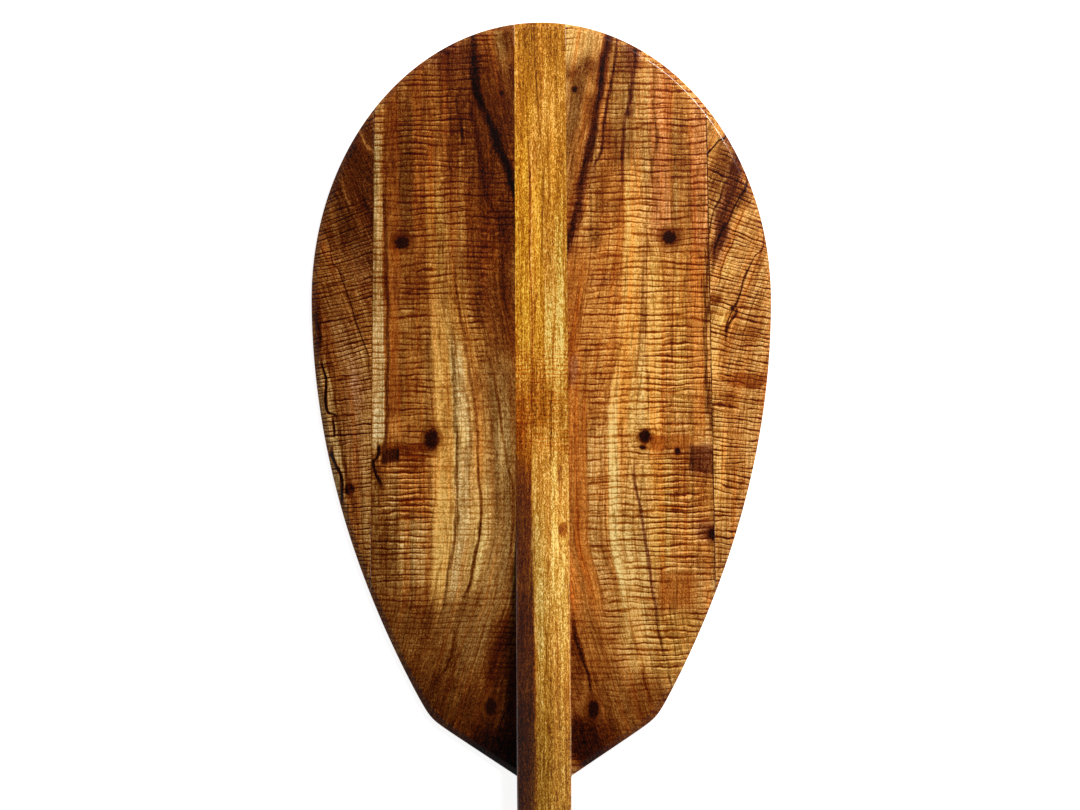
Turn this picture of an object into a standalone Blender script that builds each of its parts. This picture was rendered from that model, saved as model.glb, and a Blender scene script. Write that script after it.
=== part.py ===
"""Outrigger canoe paddle of laminated wood, lying face up on the flat back of its blade.

Metres, +Z up. X runs across the blade, +Y points to the blade's tip and the back lies on Z = 0.
A station is a distance from the tip along the centre line, and left is -X.
"""
import math

import bmesh
import bpy

PADDLE_LENGTH = 1.320

# Blade outline
BLADE_WIDTH = 0.280
BLADE_LENGTH = 0.459
WIDEST_STATION = 0.169
SHOULDER_WIDTH = 0.138
SHOULDER_HEIGHT = 0.035
SHOULDER_ROUNDING = 0.006

# Blade thickness and rim
BLADE_THICKNESS = 0.009
RIM_THICKNESS = 0.005
EDGE_SHARE = 0.46
THINNING_REACH = 0.090
FRONT_ROUNDING = 0.005
BACK_ROUNDING = 0.003

# Centre stave, which runs on as the shaft
STAVE_TIP_WIDTH = 0.031
SHAFT_WIDTH = 0.032
THROAT_SHAVING = 0.0005
SHAFT_DEPTH = 0.029
SHAFT_SQUARENESS = 2.3
THROAT_BLEND = 0.110

# Spine that rises from the blade's face into the shaft
SPINE_LENGTH = 0.205
SPINE_LAUNCH = 1.8
BEVEL_WIDTH = 0.0105
BEVEL_START_WIDTH = 0.0065
BEVEL_DROP = 0.009
BEVEL_FLATNESS = 0.92
CREST_CROWN = 0.0008
TIP_CURVE_REACH = 0.060

# Outer panels, each a crescent beyond a nearly straight seam
OUTER_PANEL_WIDTH = 0.0374
OUTER_SEAM_SLOPE = 0.0135

# Joinery
GLUE_LINE = 0.0003
SPLINE_WIDTH = 0.010
SPLINE_SHARE = 0.4
SPLINE_COVER = 0.012

# Grip
GRIP_WIDTH = 0.112
NECK_LENGTH = 0.018
FLARE_LENGTH = 0.034
BAR_DEPTH = 0.040
BAR_CORNER = 0.012
BAR_SQUARENESS = 3.0
CROWN_ANGLE = math.radians(80)
TENON_LENGTH = 0.050
TENON_SHARE = 0.62
PEG_RADIUS = 0.003
PEG_COVER = 0.0075
PEG_RECESS = 0.0004
PEG_FROM_SHOULDER = 0.022

# Fineness of the meshes
RIM_STEPS = 5
RING_POINTS = 28
PEG_SIDES = 20
SHARP_ANGLE = math.radians(22)
MERGE = 0.00001

TIP_Y = PADDLE_LENGTH / 2
SHOULDER_STATION = BLADE_LENGTH - SHOULDER_HEIGHT
SPINE_STATION = BLADE_LENGTH - SPINE_LENGTH
STAVE_THROAT_WIDTH = SHAFT_WIDTH + 2 * THROAT_SHAVING
GRIP_MOUTH_STATION = PADDLE_LENGTH - NECK_LENGTH - FLARE_LENGTH - BAR_DEPTH
SHAFT_END_STATION = GRIP_MOUTH_STATION - GLUE_LINE
EDGE_HEIGHT = RIM_THICKNESS * EDGE_SHARE


def clear_scene():
    """Remove whatever objects the scene holds."""
    for thing in list(bpy.data.objects):
        bpy.data.objects.remove(thing, do_unlink=True)


def wood(name, colour, roughness):
    """Varnished wood of one colour."""
    material = bpy.data.materials.new(name)
    material.use_nodes = True
    shader = material.node_tree.nodes["Principled BSDF"]
    shader.inputs["Base Color"].default_value = (*colour, 1.0)
    shader.inputs["Roughness"].default_value = roughness
    shader.inputs["Metallic"].default_value = 0.0
    material.diffuse_color = (*colour, 1.0)
    return material


def add_object(name, mesh, material):
    """Close a bmesh into a named object with its material and smooth shading."""
    bmesh.ops.remove_doubles(mesh, verts=mesh.verts[:], dist=MERGE)
    bmesh.ops.recalc_face_normals(mesh, faces=mesh.faces[:])
    data = bpy.data.meshes.new(name)
    mesh.to_mesh(data)
    mesh.free()
    data.materials.append(material)
    data.shade_smooth()
    data.set_sharp_from_angle(angle=SHARP_ANGLE)
    thing = bpy.data.objects.new(name, data)
    bpy.context.scene.collection.objects.link(thing)
    return thing


def cut(target, cutter):
    """Cut one object out of another and keep the cutter as a guide."""
    cutter.hide_render = True
    cutter.display_type = "WIRE"
    boolean = target.modifiers.new("cut_" + cutter.name, "BOOLEAN")
    boolean.operation = "DIFFERENCE"
    boolean.solver = "EXACT"
    boolean.object = cutter


def half_width_at(station):
    """Half width of the blade: a half ellipse above the widest station, a parabola below it."""
    half = BLADE_WIDTH / 2
    if station < WIDEST_STATION:
        rise = (WIDEST_STATION - station) / WIDEST_STATION
        return half * math.sqrt(max(0.0, 1.0 - rise * rise))
    fall = (station - WIDEST_STATION) / (SHOULDER_STATION - WIDEST_STATION)
    return half - (half - SHOULDER_WIDTH / 2) * fall * fall


def side_distance(x, station):
    """Distance in plan from the blade's long curved side, exact at the rim."""
    half = BLADE_WIDTH / 2
    if station < WIDEST_STATION:
        across = abs(x) / half
        along = (WIDEST_STATION - station) / WIDEST_STATION
        radius = max(math.hypot(across, along), MERGE)
        slope = math.hypot(across / half, along / WIDEST_STATION) / radius
        return (1.0 - radius) / slope
    reach = SHOULDER_STATION - WIDEST_STATION
    slope = 2 * (half - SHOULDER_WIDTH / 2) * (station - WIDEST_STATION) / reach ** 2
    return (half_width_at(station) - abs(x)) / math.hypot(1.0, slope)


def shoulder_distance(x, station):
    """Distance in plan from the straight shoulder that runs in to the throat."""
    run = (SHOULDER_WIDTH - STAVE_THROAT_WIDTH) / 2
    drop = BLADE_LENGTH - SHOULDER_STATION
    outside = abs(x) - STAVE_THROAT_WIDTH / 2
    return ((BLADE_LENGTH - station) * run - outside * drop) / math.hypot(run, drop)


def rim_distance(x, station):
    """Distance in plan from the outline, with the shoulder's corner rounded."""
    sharpness = 4
    side = max(side_distance(x, station) + SHOULDER_ROUNDING, MERGE)
    shoulder = max(shoulder_distance(x, station) + SHOULDER_ROUNDING, MERGE)
    blended = (side ** -sharpness + shoulder ** -sharpness) ** (-1 / sharpness)
    return blended - SHOULDER_ROUNDING


def rounded(distance, reach, depth):
    """Depth of an elliptical rounding at a distance from the rim."""
    inside = 1.0 - min(max(distance / reach, 0.0), 1.0)
    return depth * (1.0 - math.sqrt(1.0 - inside * inside))


def face_height(distance):
    """Height of the blade's face at a distance from the rim."""
    ramp = 1.0 - min(max(distance / THINNING_REACH, 0.0), 1.0)
    thickness = RIM_THICKNESS + (BLADE_THICKNESS - RIM_THICKNESS) * (1.0 - ramp * ramp)
    return thickness - rounded(distance, FRONT_ROUNDING, RIM_THICKNESS - EDGE_HEIGHT)


def back_height(distance):
    """Height of the blade's back at a distance from the rim."""
    return rounded(distance, BACK_ROUNDING, EDGE_HEIGHT)


def solve(function, low, high):
    """Root of a function that changes sign between two values."""
    rising = function(high) > function(low)
    for _ in range(40):
        middle = (low + high) / 2
        if (function(middle) > 0) == rising:
            high = middle
        else:
            low = middle
    return (low + high) / 2


def stave_seam(station):
    """Distance of the stave's seam from the centre line."""
    share = min(station / BLADE_LENGTH, 1.0)
    return (STAVE_TIP_WIDTH + (STAVE_THROAT_WIDTH - STAVE_TIP_WIDTH) * share) / 2


def outer_seam(station):
    """Distance of the outer panel's seam from the centre line."""
    middle = BLADE_WIDTH / 2 - OUTER_PANEL_WIDTH
    return middle + (station - WIDEST_STATION) * OUTER_SEAM_SLOPE


def seam_ends(seam):
    """Stations where a seam runs out through the rim, near the tip and near the throat."""
    def inside(station):
        return rim_distance(seam(station), station)
    upper = solve(inside, 0.0, WIDEST_STATION)
    lower = solve(inside, WIDEST_STATION, BLADE_LENGTH)
    return upper, lower


def rim_levels(rounding):
    """Distances from the rim that follow the rounding, closest together at the edge."""
    return [rounding * (1 - math.cos(math.pi / 2 * k / RIM_STEPS)) for k in range(RIM_STEPS + 1)]


def board(name, material, grid):
    """Closed board from rows of plan points (x, station), its face and back set by the rim."""
    mesh = bmesh.new()
    skins = []
    for height in (back_height, face_height):
        skins.append([
            [mesh.verts.new((x, TIP_Y - s, height(rim_distance(x, s)))) for x, s in row]
            for row in grid
        ])
    rows = len(grid)
    columns = len(grid[0])
    for skin in skins:
        for i in range(rows - 1):
            for j in range(columns - 1):
                mesh.faces.new((skin[i][j], skin[i][j + 1], skin[i + 1][j + 1], skin[i + 1][j]))
    back, face = skins
    border = [(0, j) for j in range(columns - 1)]
    border += [(i, columns - 1) for i in range(rows - 1)]
    border += [(rows - 1, j) for j in range(columns - 1, 0, -1)]
    border += [(i, 0) for i in range(rows - 1, 0, -1)]
    for here, there in zip(border, border[1:] + border[:1]):
        mesh.faces.new((
            back[here[0]][here[1]], back[there[0]][there[1]],
            face[there[0]][there[1]], face[here[0]][here[1]],
        ))
    return add_object(name, mesh, material)


def inner_panel(name, side, material):
    """Broad panel between the stave and the outer seam, from the rounded top to the shoulder."""
    columns = 10
    rows = 22
    grid_columns = []
    for j in range(columns + 1):
        share = j / columns

        def across(station):
            inner = stave_seam(station) + GLUE_LINE
            outer = outer_seam(station) - GLUE_LINE / 2
            return inner + (outer - inner) * share

        def station_at(distance, low, high):
            return solve(lambda s: rim_distance(across(s), s) - distance, low, high)

        levels = rim_levels(FRONT_ROUNDING)
        upper = [station_at(d, 0.0, WIDEST_STATION) for d in levels]
        lower = [station_at(d, WIDEST_STATION, BLADE_LENGTH) for d in levels]
        step = (lower[-1] - upper[-1]) / rows
        middle = [upper[-1] + step * i for i in range(1, rows)]
        stations = upper + middle + lower[::-1]
        grid_columns.append([(side * across(s), s) for s in stations])
    return board(name, material, list(zip(*grid_columns)))


def outer_panel(name, side, material):
    """Crescent from the outer seam to the blade's side."""
    columns = 5
    rows = 30
    top, bottom = seam_ends(lambda s: outer_seam(s) + GLUE_LINE / 2)
    grid = []
    for i in range(rows + 1):
        station = top + (bottom - top) * (1 - math.cos(math.pi * i / rows)) / 2
        seam = outer_seam(station) + GLUE_LINE / 2

        def x_at(distance):
            def short(x):
                return rim_distance(x, station) - distance
            if short(seam) <= 0:
                return seam
            return solve(short, seam, BLADE_WIDTH / 2)

        rim = [x_at(d) for d in rim_levels(FRONT_ROUNDING)]
        inner = [seam + (rim[-1] - seam) * j / columns for j in range(columns)]
        grid.append([(side * x, station) for x in inner + rim[::-1]])
    return board(name, material, grid)


def spine_rise(station):
    """Height of the spine's crest above the blade's face."""
    share = (station - SPINE_STATION) / (BLADE_LENGTH - SPINE_STATION)
    share = min(max(share, 0.0), 1.0)
    launch = SPINE_LAUNCH * share * (1 - share) ** 2
    climb = share * share * (3 - 2 * share)
    return (SHAFT_DEPTH - BLADE_THICKNESS) * (launch + climb)


def bevel_width_at(drop):
    """Width of each of the spine's bevels where it falls by a drop."""
    return BEVEL_START_WIDTH + (BEVEL_WIDTH - BEVEL_START_WIDTH) * drop / BEVEL_DROP


def stave_top(x, half, station):
    """Height of the stave's upper side inside the blade, with its spine, crest and bevels."""
    rise = spine_rise(station)
    surface = face_height(side_distance(x, station))
    drop = min(rise, BEVEL_DROP)
    bevel = bevel_width_at(drop)
    crest = half - bevel
    crown = min(CREST_CROWN, drop / 4)
    if abs(x) <= crest:
        return surface + rise - crown * (x / crest) ** 2
    share = min((abs(x) - crest) / bevel, 1.0)
    hollow = 1 - math.sqrt(1 - share * share)
    curve = BEVEL_FLATNESS * share + (1 - BEVEL_FLATNESS) * hollow
    return surface + rise - crown - (drop - crown) * curve


def smooth(share):
    """Ease from 0 to 1."""
    share = min(max(share, 0.0), 1.0)
    return share * share * (3 - 2 * share)


def superellipse(angle, half_x, half_z, squareness):
    """Point of a superellipse about its own centre."""
    power = 2 / squareness
    across, up = math.cos(angle), math.sin(angle)
    return (
        math.copysign(half_x * abs(across) ** power, across),
        math.copysign(half_z * abs(up) ** power, up),
    )


def ring_angles():
    """Angles round a section, from the right wall over the top."""
    return [2 * math.pi * k / RING_POINTS for k in range(RING_POINTS)]


def blade_section(row):
    """Section (x, station, height) of the stave inside the blade, in the order of the angles."""
    half = stave_seam(row)
    drop = min(spine_rise(row), BEVEL_DROP)
    bevel = bevel_width_at(drop)
    crest = half - bevel
    bevel_steps = 4
    right = [half - bevel * k / bevel_steps for k in range(bevel_steps + 1)] + [crest / 2]
    top = right + [0.0] + [-x for x in reversed(right)]
    flat_steps = len(top) - 1
    bottom = [-half + 2 * half * k / flat_steps for k in range(flat_steps + 1)]

    def placed(x, height):
        widest = WIDEST_STATION * (1 - math.sqrt(1 - (2 * x / BLADE_WIDTH) ** 2))
        station = row + widest * max(0.0, 1 - row / TIP_CURVE_REACH)
        return x, station, height(x, station)

    def upper(x, station):
        return stave_top(x, half, station)

    def lower(x, station):
        return back_height(side_distance(x, station))

    def middle(x, station):
        return (upper(x, station) + lower(x, station)) / 2

    section = [placed(half, middle)] + [placed(x, upper) for x in top]
    return section + [placed(-half, middle)] + [placed(x, lower) for x in bottom]


def shaft_section(station, scale=1.0):
    """Section of the round shaft, or of a tenon at a share of its size."""
    section = []
    for angle in ring_angles():
        x, z = superellipse(
            angle, scale * SHAFT_WIDTH / 2, scale * SHAFT_DEPTH / 2, SHAFT_SQUARENESS)
        section.append((x, station, SHAFT_DEPTH / 2 + z))
    return section


def blended_section(station):
    """Section between the throat and the full round of the shaft."""
    share = smooth((station - BLADE_LENGTH) / THROAT_BLEND)
    pairs = zip(blade_section(BLADE_LENGTH), shaft_section(station))
    return [
        (a[0] + (b[0] - a[0]) * share, station, a[2] + (b[2] - a[2]) * share)
        for a, b in pairs
    ]


def steps(low, high, count):
    """Evenly spaced values, both ends included."""
    return [low + (high - low) * k / count for k in range(count + 1)]


def loft(sections):
    """Bmesh through closed sections of (x, station, height), with both ends filled."""
    mesh = bmesh.new()
    rings = [[mesh.verts.new((x, TIP_Y - s, z)) for x, s, z in points] for points in sections]
    for near, far in zip(rings, rings[1:]):
        for k in range(len(near)):
            after = (k + 1) % len(near)
            mesh.faces.new((near[k], near[after], far[after], far[k]))
    mesh.faces.new(rings[0])
    mesh.faces.new(rings[-1])
    return mesh


def shaft_stave(material):
    """One stave from the blade's tip to the tenon in the grip."""
    rows = rim_levels(FRONT_ROUNDING)
    rows += steps(FRONT_ROUNDING, SPINE_STATION, 12)[1:]
    rows += steps(SPINE_STATION, BLADE_LENGTH, 20)[1:]
    sections = [blade_section(row) for row in rows]
    blend_end = BLADE_LENGTH + THROAT_BLEND
    sections += [blended_section(s) for s in steps(BLADE_LENGTH, blend_end, 8)[1:]]
    sections += [shaft_section(s) for s in steps(blend_end, SHAFT_END_STATION, 6)[1:]]
    sections.append(shaft_section(SHAFT_END_STATION, TENON_SHARE))
    sections.append(shaft_section(SHAFT_END_STATION + TENON_LENGTH, TENON_SHARE))
    return add_object("shaft_stave", loft(sections), material)


def spline_box(name, side, seam, clearance, material):
    """Loose spline along a seam, or the groove that takes it with a clearance."""
    def cover(station):
        return rim_distance(seam(station) + SPLINE_WIDTH / 2, station) - SPLINE_COVER

    first = solve(cover, 0.0, WIDEST_STATION)
    last = solve(cover, WIDEST_STATION, BLADE_LENGTH)
    half_width = SPLINE_WIDTH / 2 + clearance
    half_height = SPLINE_SHARE * RIM_THICKNESS / 2 + clearance
    mesh = bmesh.new()
    bmesh.ops.create_cube(mesh, size=2.0)
    for corner in mesh.verts:
        end = last + clearance if corner.co.y < 0 else first - clearance
        centre = side * seam(end)
        corner.co = (
            centre + corner.co.x * half_width,
            TIP_Y - end,
            RIM_THICKNESS / 2 + corner.co.z * half_height,
        )
    return add_object(name, mesh, material)


def grip_profile():
    """Half width, half depth and squareness of the grip along its length from the mouth."""
    half_shaft = SHAFT_WIDTH / 2
    half_depth = SHAFT_DEPTH / 2
    half_bar = GRIP_WIDTH / 2
    bar_start = NECK_LENGTH + FLARE_LENGTH
    bar_middle = bar_start + BAR_CORNER
    flare_width = half_bar - BAR_CORNER - half_shaft
    profile = [(0.0, half_shaft, half_depth, SHAFT_SQUARENESS)]
    for angle in steps(0.0, math.pi / 2, 9):
        share = 1 - math.cos(angle)
        along = NECK_LENGTH + FLARE_LENGTH * math.sin(angle)
        square = SHAFT_SQUARENESS + (BAR_SQUARENESS - SHAFT_SQUARENESS) * share
        profile.append((along, half_shaft + flare_width * share, half_depth, square))
    for angle in steps(0.0, math.pi / 2, 4)[1:]:
        along = bar_start + BAR_CORNER * (1 - math.cos(angle))
        width = half_bar - BAR_CORNER + BAR_CORNER * math.sin(angle)
        profile.append((along, width, half_depth, BAR_SQUARENESS))
    crown = BAR_DEPTH - BAR_CORNER
    for angle in steps(0.0, CROWN_ANGLE, 8)[1:]:
        along = bar_middle + crown * math.sin(angle) / math.sin(CROWN_ANGLE)
        width = half_bar * math.cos(angle) ** (2 / BAR_SQUARENESS)
        depth = half_depth * math.sqrt(math.cos(angle))
        profile.append((along, width, depth, BAR_SQUARENESS))
    return profile


def grip_crossbar(material):
    """T shaped grip with a neck that takes the shaft's tenon."""
    sections = []
    for along, half_x, half_z, squareness in grip_profile():
        ring = []
        for angle in ring_angles():
            x, z = superellipse(angle, half_x, half_z, squareness)
            ring.append((x, GRIP_MOUTH_STATION + along, SHAFT_DEPTH / 2 + z))
        sections.append(ring)
    return add_object("grip_crossbar", loft(sections), material)


def mortise_cutter(material):
    """Space for the tenon, open at the grip's mouth."""
    clear_share = TENON_SHARE + 2 * GLUE_LINE / SHAFT_DEPTH
    bottom = SHAFT_END_STATION + TENON_LENGTH + GLUE_LINE
    sections = [shaft_section(s, clear_share) for s in (SHAFT_END_STATION, bottom)]
    return add_object("mortise", loft(sections), material)


def peg(name, clearance, material):
    """Dowel that enters the neck from the back, or the blind hole that takes it."""
    top = SHAFT_DEPTH - PEG_COVER + clearance
    bottom = -BLADE_THICKNESS if clearance else PEG_RECESS
    station = SHAFT_END_STATION + PEG_FROM_SHOULDER
    mesh = bmesh.new()
    bmesh.ops.create_cone(
        mesh, cap_ends=True, segments=PEG_SIDES, radius1=PEG_RADIUS + clearance,
        radius2=PEG_RADIUS + clearance, depth=top - bottom)
    thing = add_object(name, mesh, material)
    thing.location = (0.0, TIP_Y - station, (top + bottom) / 2)
    return thing


def build_paddle():
    """Every piece of the paddle, with its grooves, mortise and peg hole."""
    clear_scene()
    golden = wood("koa_stave", (0.62, 0.29, 0.06), 0.22)
    figured = wood("koa_inner_panel", (0.47, 0.20, 0.05), 0.22)
    reddish = wood("koa_outer_panel", (0.38, 0.13, 0.03), 0.22)
    dark = wood("koa_grip", (0.30, 0.11, 0.03), 0.24)
    pale = wood("spline_wood", (0.66, 0.50, 0.30), 0.6)

    stave = shaft_stave(golden)
    for side, word in ((-1, "left"), (1, "right")):
        inner = inner_panel("inner_panel_" + word, side, figured)
        outer = outer_panel("outer_panel_" + word, side, reddish)
        joints = (("inner", stave_seam, (stave, inner)), ("outer", outer_seam, (inner, outer)))
        for place, seam, boards in joints:
            spline_box(f"{place}_spline_{word}", side, seam, 0.0, pale)
            groove = spline_box(f"{place}_groove_{word}", side, seam, GLUE_LINE, pale)
            for joined in boards:
                cut(joined, groove)

    grip = grip_crossbar(dark)
    cut(grip, mortise_cutter(dark))
    peg("grip_peg", 0.0, pale)
    peg_hole = peg("peg_hole", GLUE_LINE, pale)
    cut(grip, peg_hole)
    cut(stave, peg_hole)


build_paddle()
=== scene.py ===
"""Looks of a varnished koa outrigger paddle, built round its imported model.

The paddle lies face up on a pale studio floor under a camera that looks straight down on the blade.
Metres, with X across the blade, +Y to the blade's tip and +Z up. A station is a distance from the
tip. Materials work in millimetres: out from the centre line and down from the tip.
"""
import logging
import math
from collections.abc import Callable
from dataclasses import dataclass
from enum import Enum

import bpy
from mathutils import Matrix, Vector

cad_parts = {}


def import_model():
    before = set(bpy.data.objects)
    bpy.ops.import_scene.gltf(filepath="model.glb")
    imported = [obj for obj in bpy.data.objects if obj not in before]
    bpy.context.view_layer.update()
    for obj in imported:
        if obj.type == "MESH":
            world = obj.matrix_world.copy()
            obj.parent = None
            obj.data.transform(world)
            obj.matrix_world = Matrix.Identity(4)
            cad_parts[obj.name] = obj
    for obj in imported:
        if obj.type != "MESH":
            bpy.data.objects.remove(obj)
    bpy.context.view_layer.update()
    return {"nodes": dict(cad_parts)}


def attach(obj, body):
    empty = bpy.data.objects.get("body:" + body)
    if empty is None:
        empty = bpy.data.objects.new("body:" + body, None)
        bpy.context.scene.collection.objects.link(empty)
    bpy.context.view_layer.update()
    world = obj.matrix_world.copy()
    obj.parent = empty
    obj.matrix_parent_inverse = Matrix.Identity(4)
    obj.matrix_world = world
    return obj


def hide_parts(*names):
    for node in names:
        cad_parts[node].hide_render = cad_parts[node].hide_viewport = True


log = logging.getLogger("paddle")

Point2 = tuple[float, float]
Point3 = tuple[float, float, float]
Section = list[Point3]
Socket = bpy.types.NodeSocket
Place = tuple[Socket, Socket]
Piece = bpy.types.Object

MM = 1000.0
MERGE = 0.00001
HALVINGS = 36
SRGB_KNEE = 0.04045
SRGB_TOE = 12.92
SRGB_LIFT = 0.055
SRGB_POWER = 2.4
WHITE = (1.0, 1.0, 1.0, 1.0)
NOISE_MIDDLE = 0.5
NOISE_SPAN = (0.25, 0.75)


class Side(Enum):
    """Side of the centre line that a board lies on."""

    LEFT = -1
    RIGHT = 1

    @property
    def word(self) -> str:
        """The side's word in a piece's name."""
        return self.name.lower()


def linear(tone: tuple[int, int, int]) -> tuple[float, float, float, float]:
    """Tone in scene light.

    Args:
        tone: Red, green and blue out of 255.

    Returns:
        Linear red, green and blue, and full opacity.
    """
    parts = []
    for part in tone:
        share = part / 255
        if share <= SRGB_KNEE:
            parts.append(share / SRGB_TOE)
        else:
            parts.append(((share + SRGB_LIFT) / (1 + SRGB_LIFT)) ** SRGB_POWER)
    return (parts[0], parts[1], parts[2], 1.0)


def clamp(value: float, low: float = 0.0, high: float = 1.0) -> float:
    """Value held between two limits."""
    return min(max(value, low), high)


def ease(share: float) -> float:
    """Smooth step from 0 to 1."""
    share = clamp(share)
    return share * share * (3 - 2 * share)


def lerp(low: float, high: float, share: float) -> float:
    """Value at a share of the way between two others."""
    return low + (high - low) * share


def spread(low: float, high: float, count: int) -> list[float]:
    """Evenly spaced values after the low one, up to the high one."""
    return [lerp(low, high, k / count) for k in range(1, count + 1)]


def solve(function: Callable[[float], float], low: float, high: float) -> float:
    """Root of a function between two values.

    Args:
        function: Changes sign once between the two values.
        low: Lower value.
        high: Upper value.

    Returns:
        The value at which the function is zero.
    """
    rising = function(high) > function(low)
    for _ in range(HALVINGS):
        middle = (low + high) / 2
        if (function(middle) > 0) == rising:
            high = middle
        else:
            low = middle
    return (low + high) / 2


@dataclass(frozen=True)
class BladeForm:
    """Outline and thickness of the blade, and the seams between its boards, in metres."""

    tip_y: float = 0.660
    width: float = 0.280
    length: float = 0.459
    widest: float = 0.169
    shoulder_width: float = 0.138
    shoulder_height: float = 0.035
    shoulder_rounding: float = 0.006
    thickness: float = 0.009
    rim: float = 0.005
    edge_height: float = 0.0023
    thinning: float = 0.090
    rim_bevel: float = 0.0034
    rim_bevel_slope: float = 0.60
    arris_easing: float = 0.00022
    nose: float = 0.0013
    back_rounding: float = 0.003
    stave_tip_width: float = 0.031
    stave_throat_width: float = 0.033
    outer_panel_width: float = 0.0374
    outer_seam_slope: float = 0.0135
    seam_gap: float = 0.00004
    corner_power: int = 4
    rim_power: int = 6
    nose_steps: int = 6
    bevel_shares: tuple[float, ...] = (0.25, 0.5, 0.72, 0.86, 0.94)
    arris_steps: tuple[float, ...] = (0.0, 0.00012, 0.0003, 0.0006, 0.0011, 0.0018)

    @property
    def shoulder(self) -> float:
        """Station of the shoulder's corner."""
        return self.length - self.shoulder_height

    def half_width_at(self, station: float) -> float:
        """Half width of the blade at a station.

        Args:
            station: Distance from the tip.

        Returns:
            The half width.
        """
        half = self.width / 2
        if station < self.widest:
            rise = (self.widest - station) / self.widest
            return half * math.sqrt(max(0.0, 1.0 - rise * rise))
        fall = (station - self.widest) / (self.shoulder - self.widest)
        return half - (half - self.shoulder_width / 2) * fall * fall

    def side_distance(self, x: float, station: float) -> float:
        """Distance in plan from the long curved side.

        Args:
            x: Place across the blade.
            station: Distance from the tip.

        Returns:
            The distance, below 0 outside the blade.
        """
        half = self.width / 2
        if station < self.widest:
            across = abs(x) / half
            along = (self.widest - station) / self.widest
            radius = max(math.hypot(across, along), MERGE)
            return (1.0 - radius) * radius / math.hypot(across / half, along / self.widest)
        reach = self.shoulder - self.widest
        slope = 2 * (half - self.shoulder_width / 2) * (station - self.widest) / reach ** 2
        return (self.half_width_at(station) - abs(x)) / math.hypot(1.0, slope)

    def shoulder_distance(self, x: float, station: float) -> float:
        """Distance in plan from the straight shoulder.

        Args:
            x: Place across the blade.
            station: Distance from the tip.

        Returns:
            The distance, below 0 outside the blade.
        """
        run = (self.shoulder_width - self.stave_throat_width) / 2
        outside = abs(x) - self.stave_throat_width / 2
        fall = (self.length - station) * run - outside * self.shoulder_height
        return fall / math.hypot(run, self.shoulder_height)

    def rim_distance(self, x: float, station: float) -> float:
        """Distance in plan from the outline, with the shoulder's corner rounded.

        Args:
            x: Place across the blade.
            station: Distance from the tip.

        Returns:
            The distance, below 0 outside the blade.
        """
        side = max(self.side_distance(x, station) + self.shoulder_rounding, MERGE)
        shoulder = max(self.shoulder_distance(x, station) + self.shoulder_rounding, MERGE)
        power = -self.corner_power
        return (side ** power + shoulder ** power) ** (1 / power) - self.shoulder_rounding

    @staticmethod
    def rounded(distance: float, reach: float, depth: float) -> float:
        """Depth of an elliptical rounding at a distance from the rim."""
        inside = 1.0 - clamp(distance / reach)
        return depth * (1.0 - math.sqrt(1.0 - inside * inside))

    def larger(self, first: float, second: float) -> float:
        """Larger of two depths, with a rounded change from one to the other."""
        return (first ** self.rim_power + second ** self.rim_power) ** (1 / self.rim_power)

    def eased_rim(self, distance: float) -> float:
        """Depth of the worked rim below the face: an eased arris, a bevel and a round nose.

        Args:
            distance: Distance from the rim.

        Returns:
            The depth.
        """
        depth = self.rim - self.edge_height
        slope = self.rim_bevel_slope * (self.rim_bevel - distance)
        bevel = (slope + math.hypot(slope, self.arris_easing)) / 2
        nose = self.rounded(distance, self.nose, depth)
        whole = self.larger(self.rim_bevel_slope * self.rim_bevel, depth)
        return depth * min(self.larger(bevel, nose) / whole, 1.0)

    def face_height(self, distance: float) -> float:
        """Height of the face at a distance from the rim.

        Args:
            distance: Distance from the rim.

        Returns:
            The height.
        """
        ramp = 1.0 - clamp(distance / self.thinning)
        full = self.rim + (self.thickness - self.rim) * (1.0 - ramp * ramp)
        return full - self.eased_rim(max(distance, 0.0))

    def back_height(self, distance: float) -> float:
        """Height of the back at a distance from the rim."""
        return self.rounded(distance, self.back_rounding, self.edge_height)

    def stave_seam(self, station: float) -> float:
        """Distance of the stave's seam from the centre line."""
        share = min(station / self.length, 1.0)
        return lerp(self.stave_tip_width, self.stave_throat_width, share) / 2

    def outer_seam(self, station: float) -> float:
        """Distance of the outer panel's seam from the centre line."""
        middle = self.width / 2 - self.outer_panel_width
        return middle + (station - self.widest) * self.outer_seam_slope

    def rim_levels(self) -> list[float]:
        """Distances from the rim that follow its nose, bevel and arris.

        Returns:
            The distances, from the rim inwards.
        """
        turns = [0.0, *spread(0.0, math.pi / 2, self.nose_steps)]
        nose = [self.nose * (1 - math.cos(turn)) for turn in turns]
        bevel = [lerp(self.nose, self.rim_bevel, share) for share in self.bevel_shares]
        return nose + bevel + [self.rim_bevel + step for step in self.arris_steps]


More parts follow.
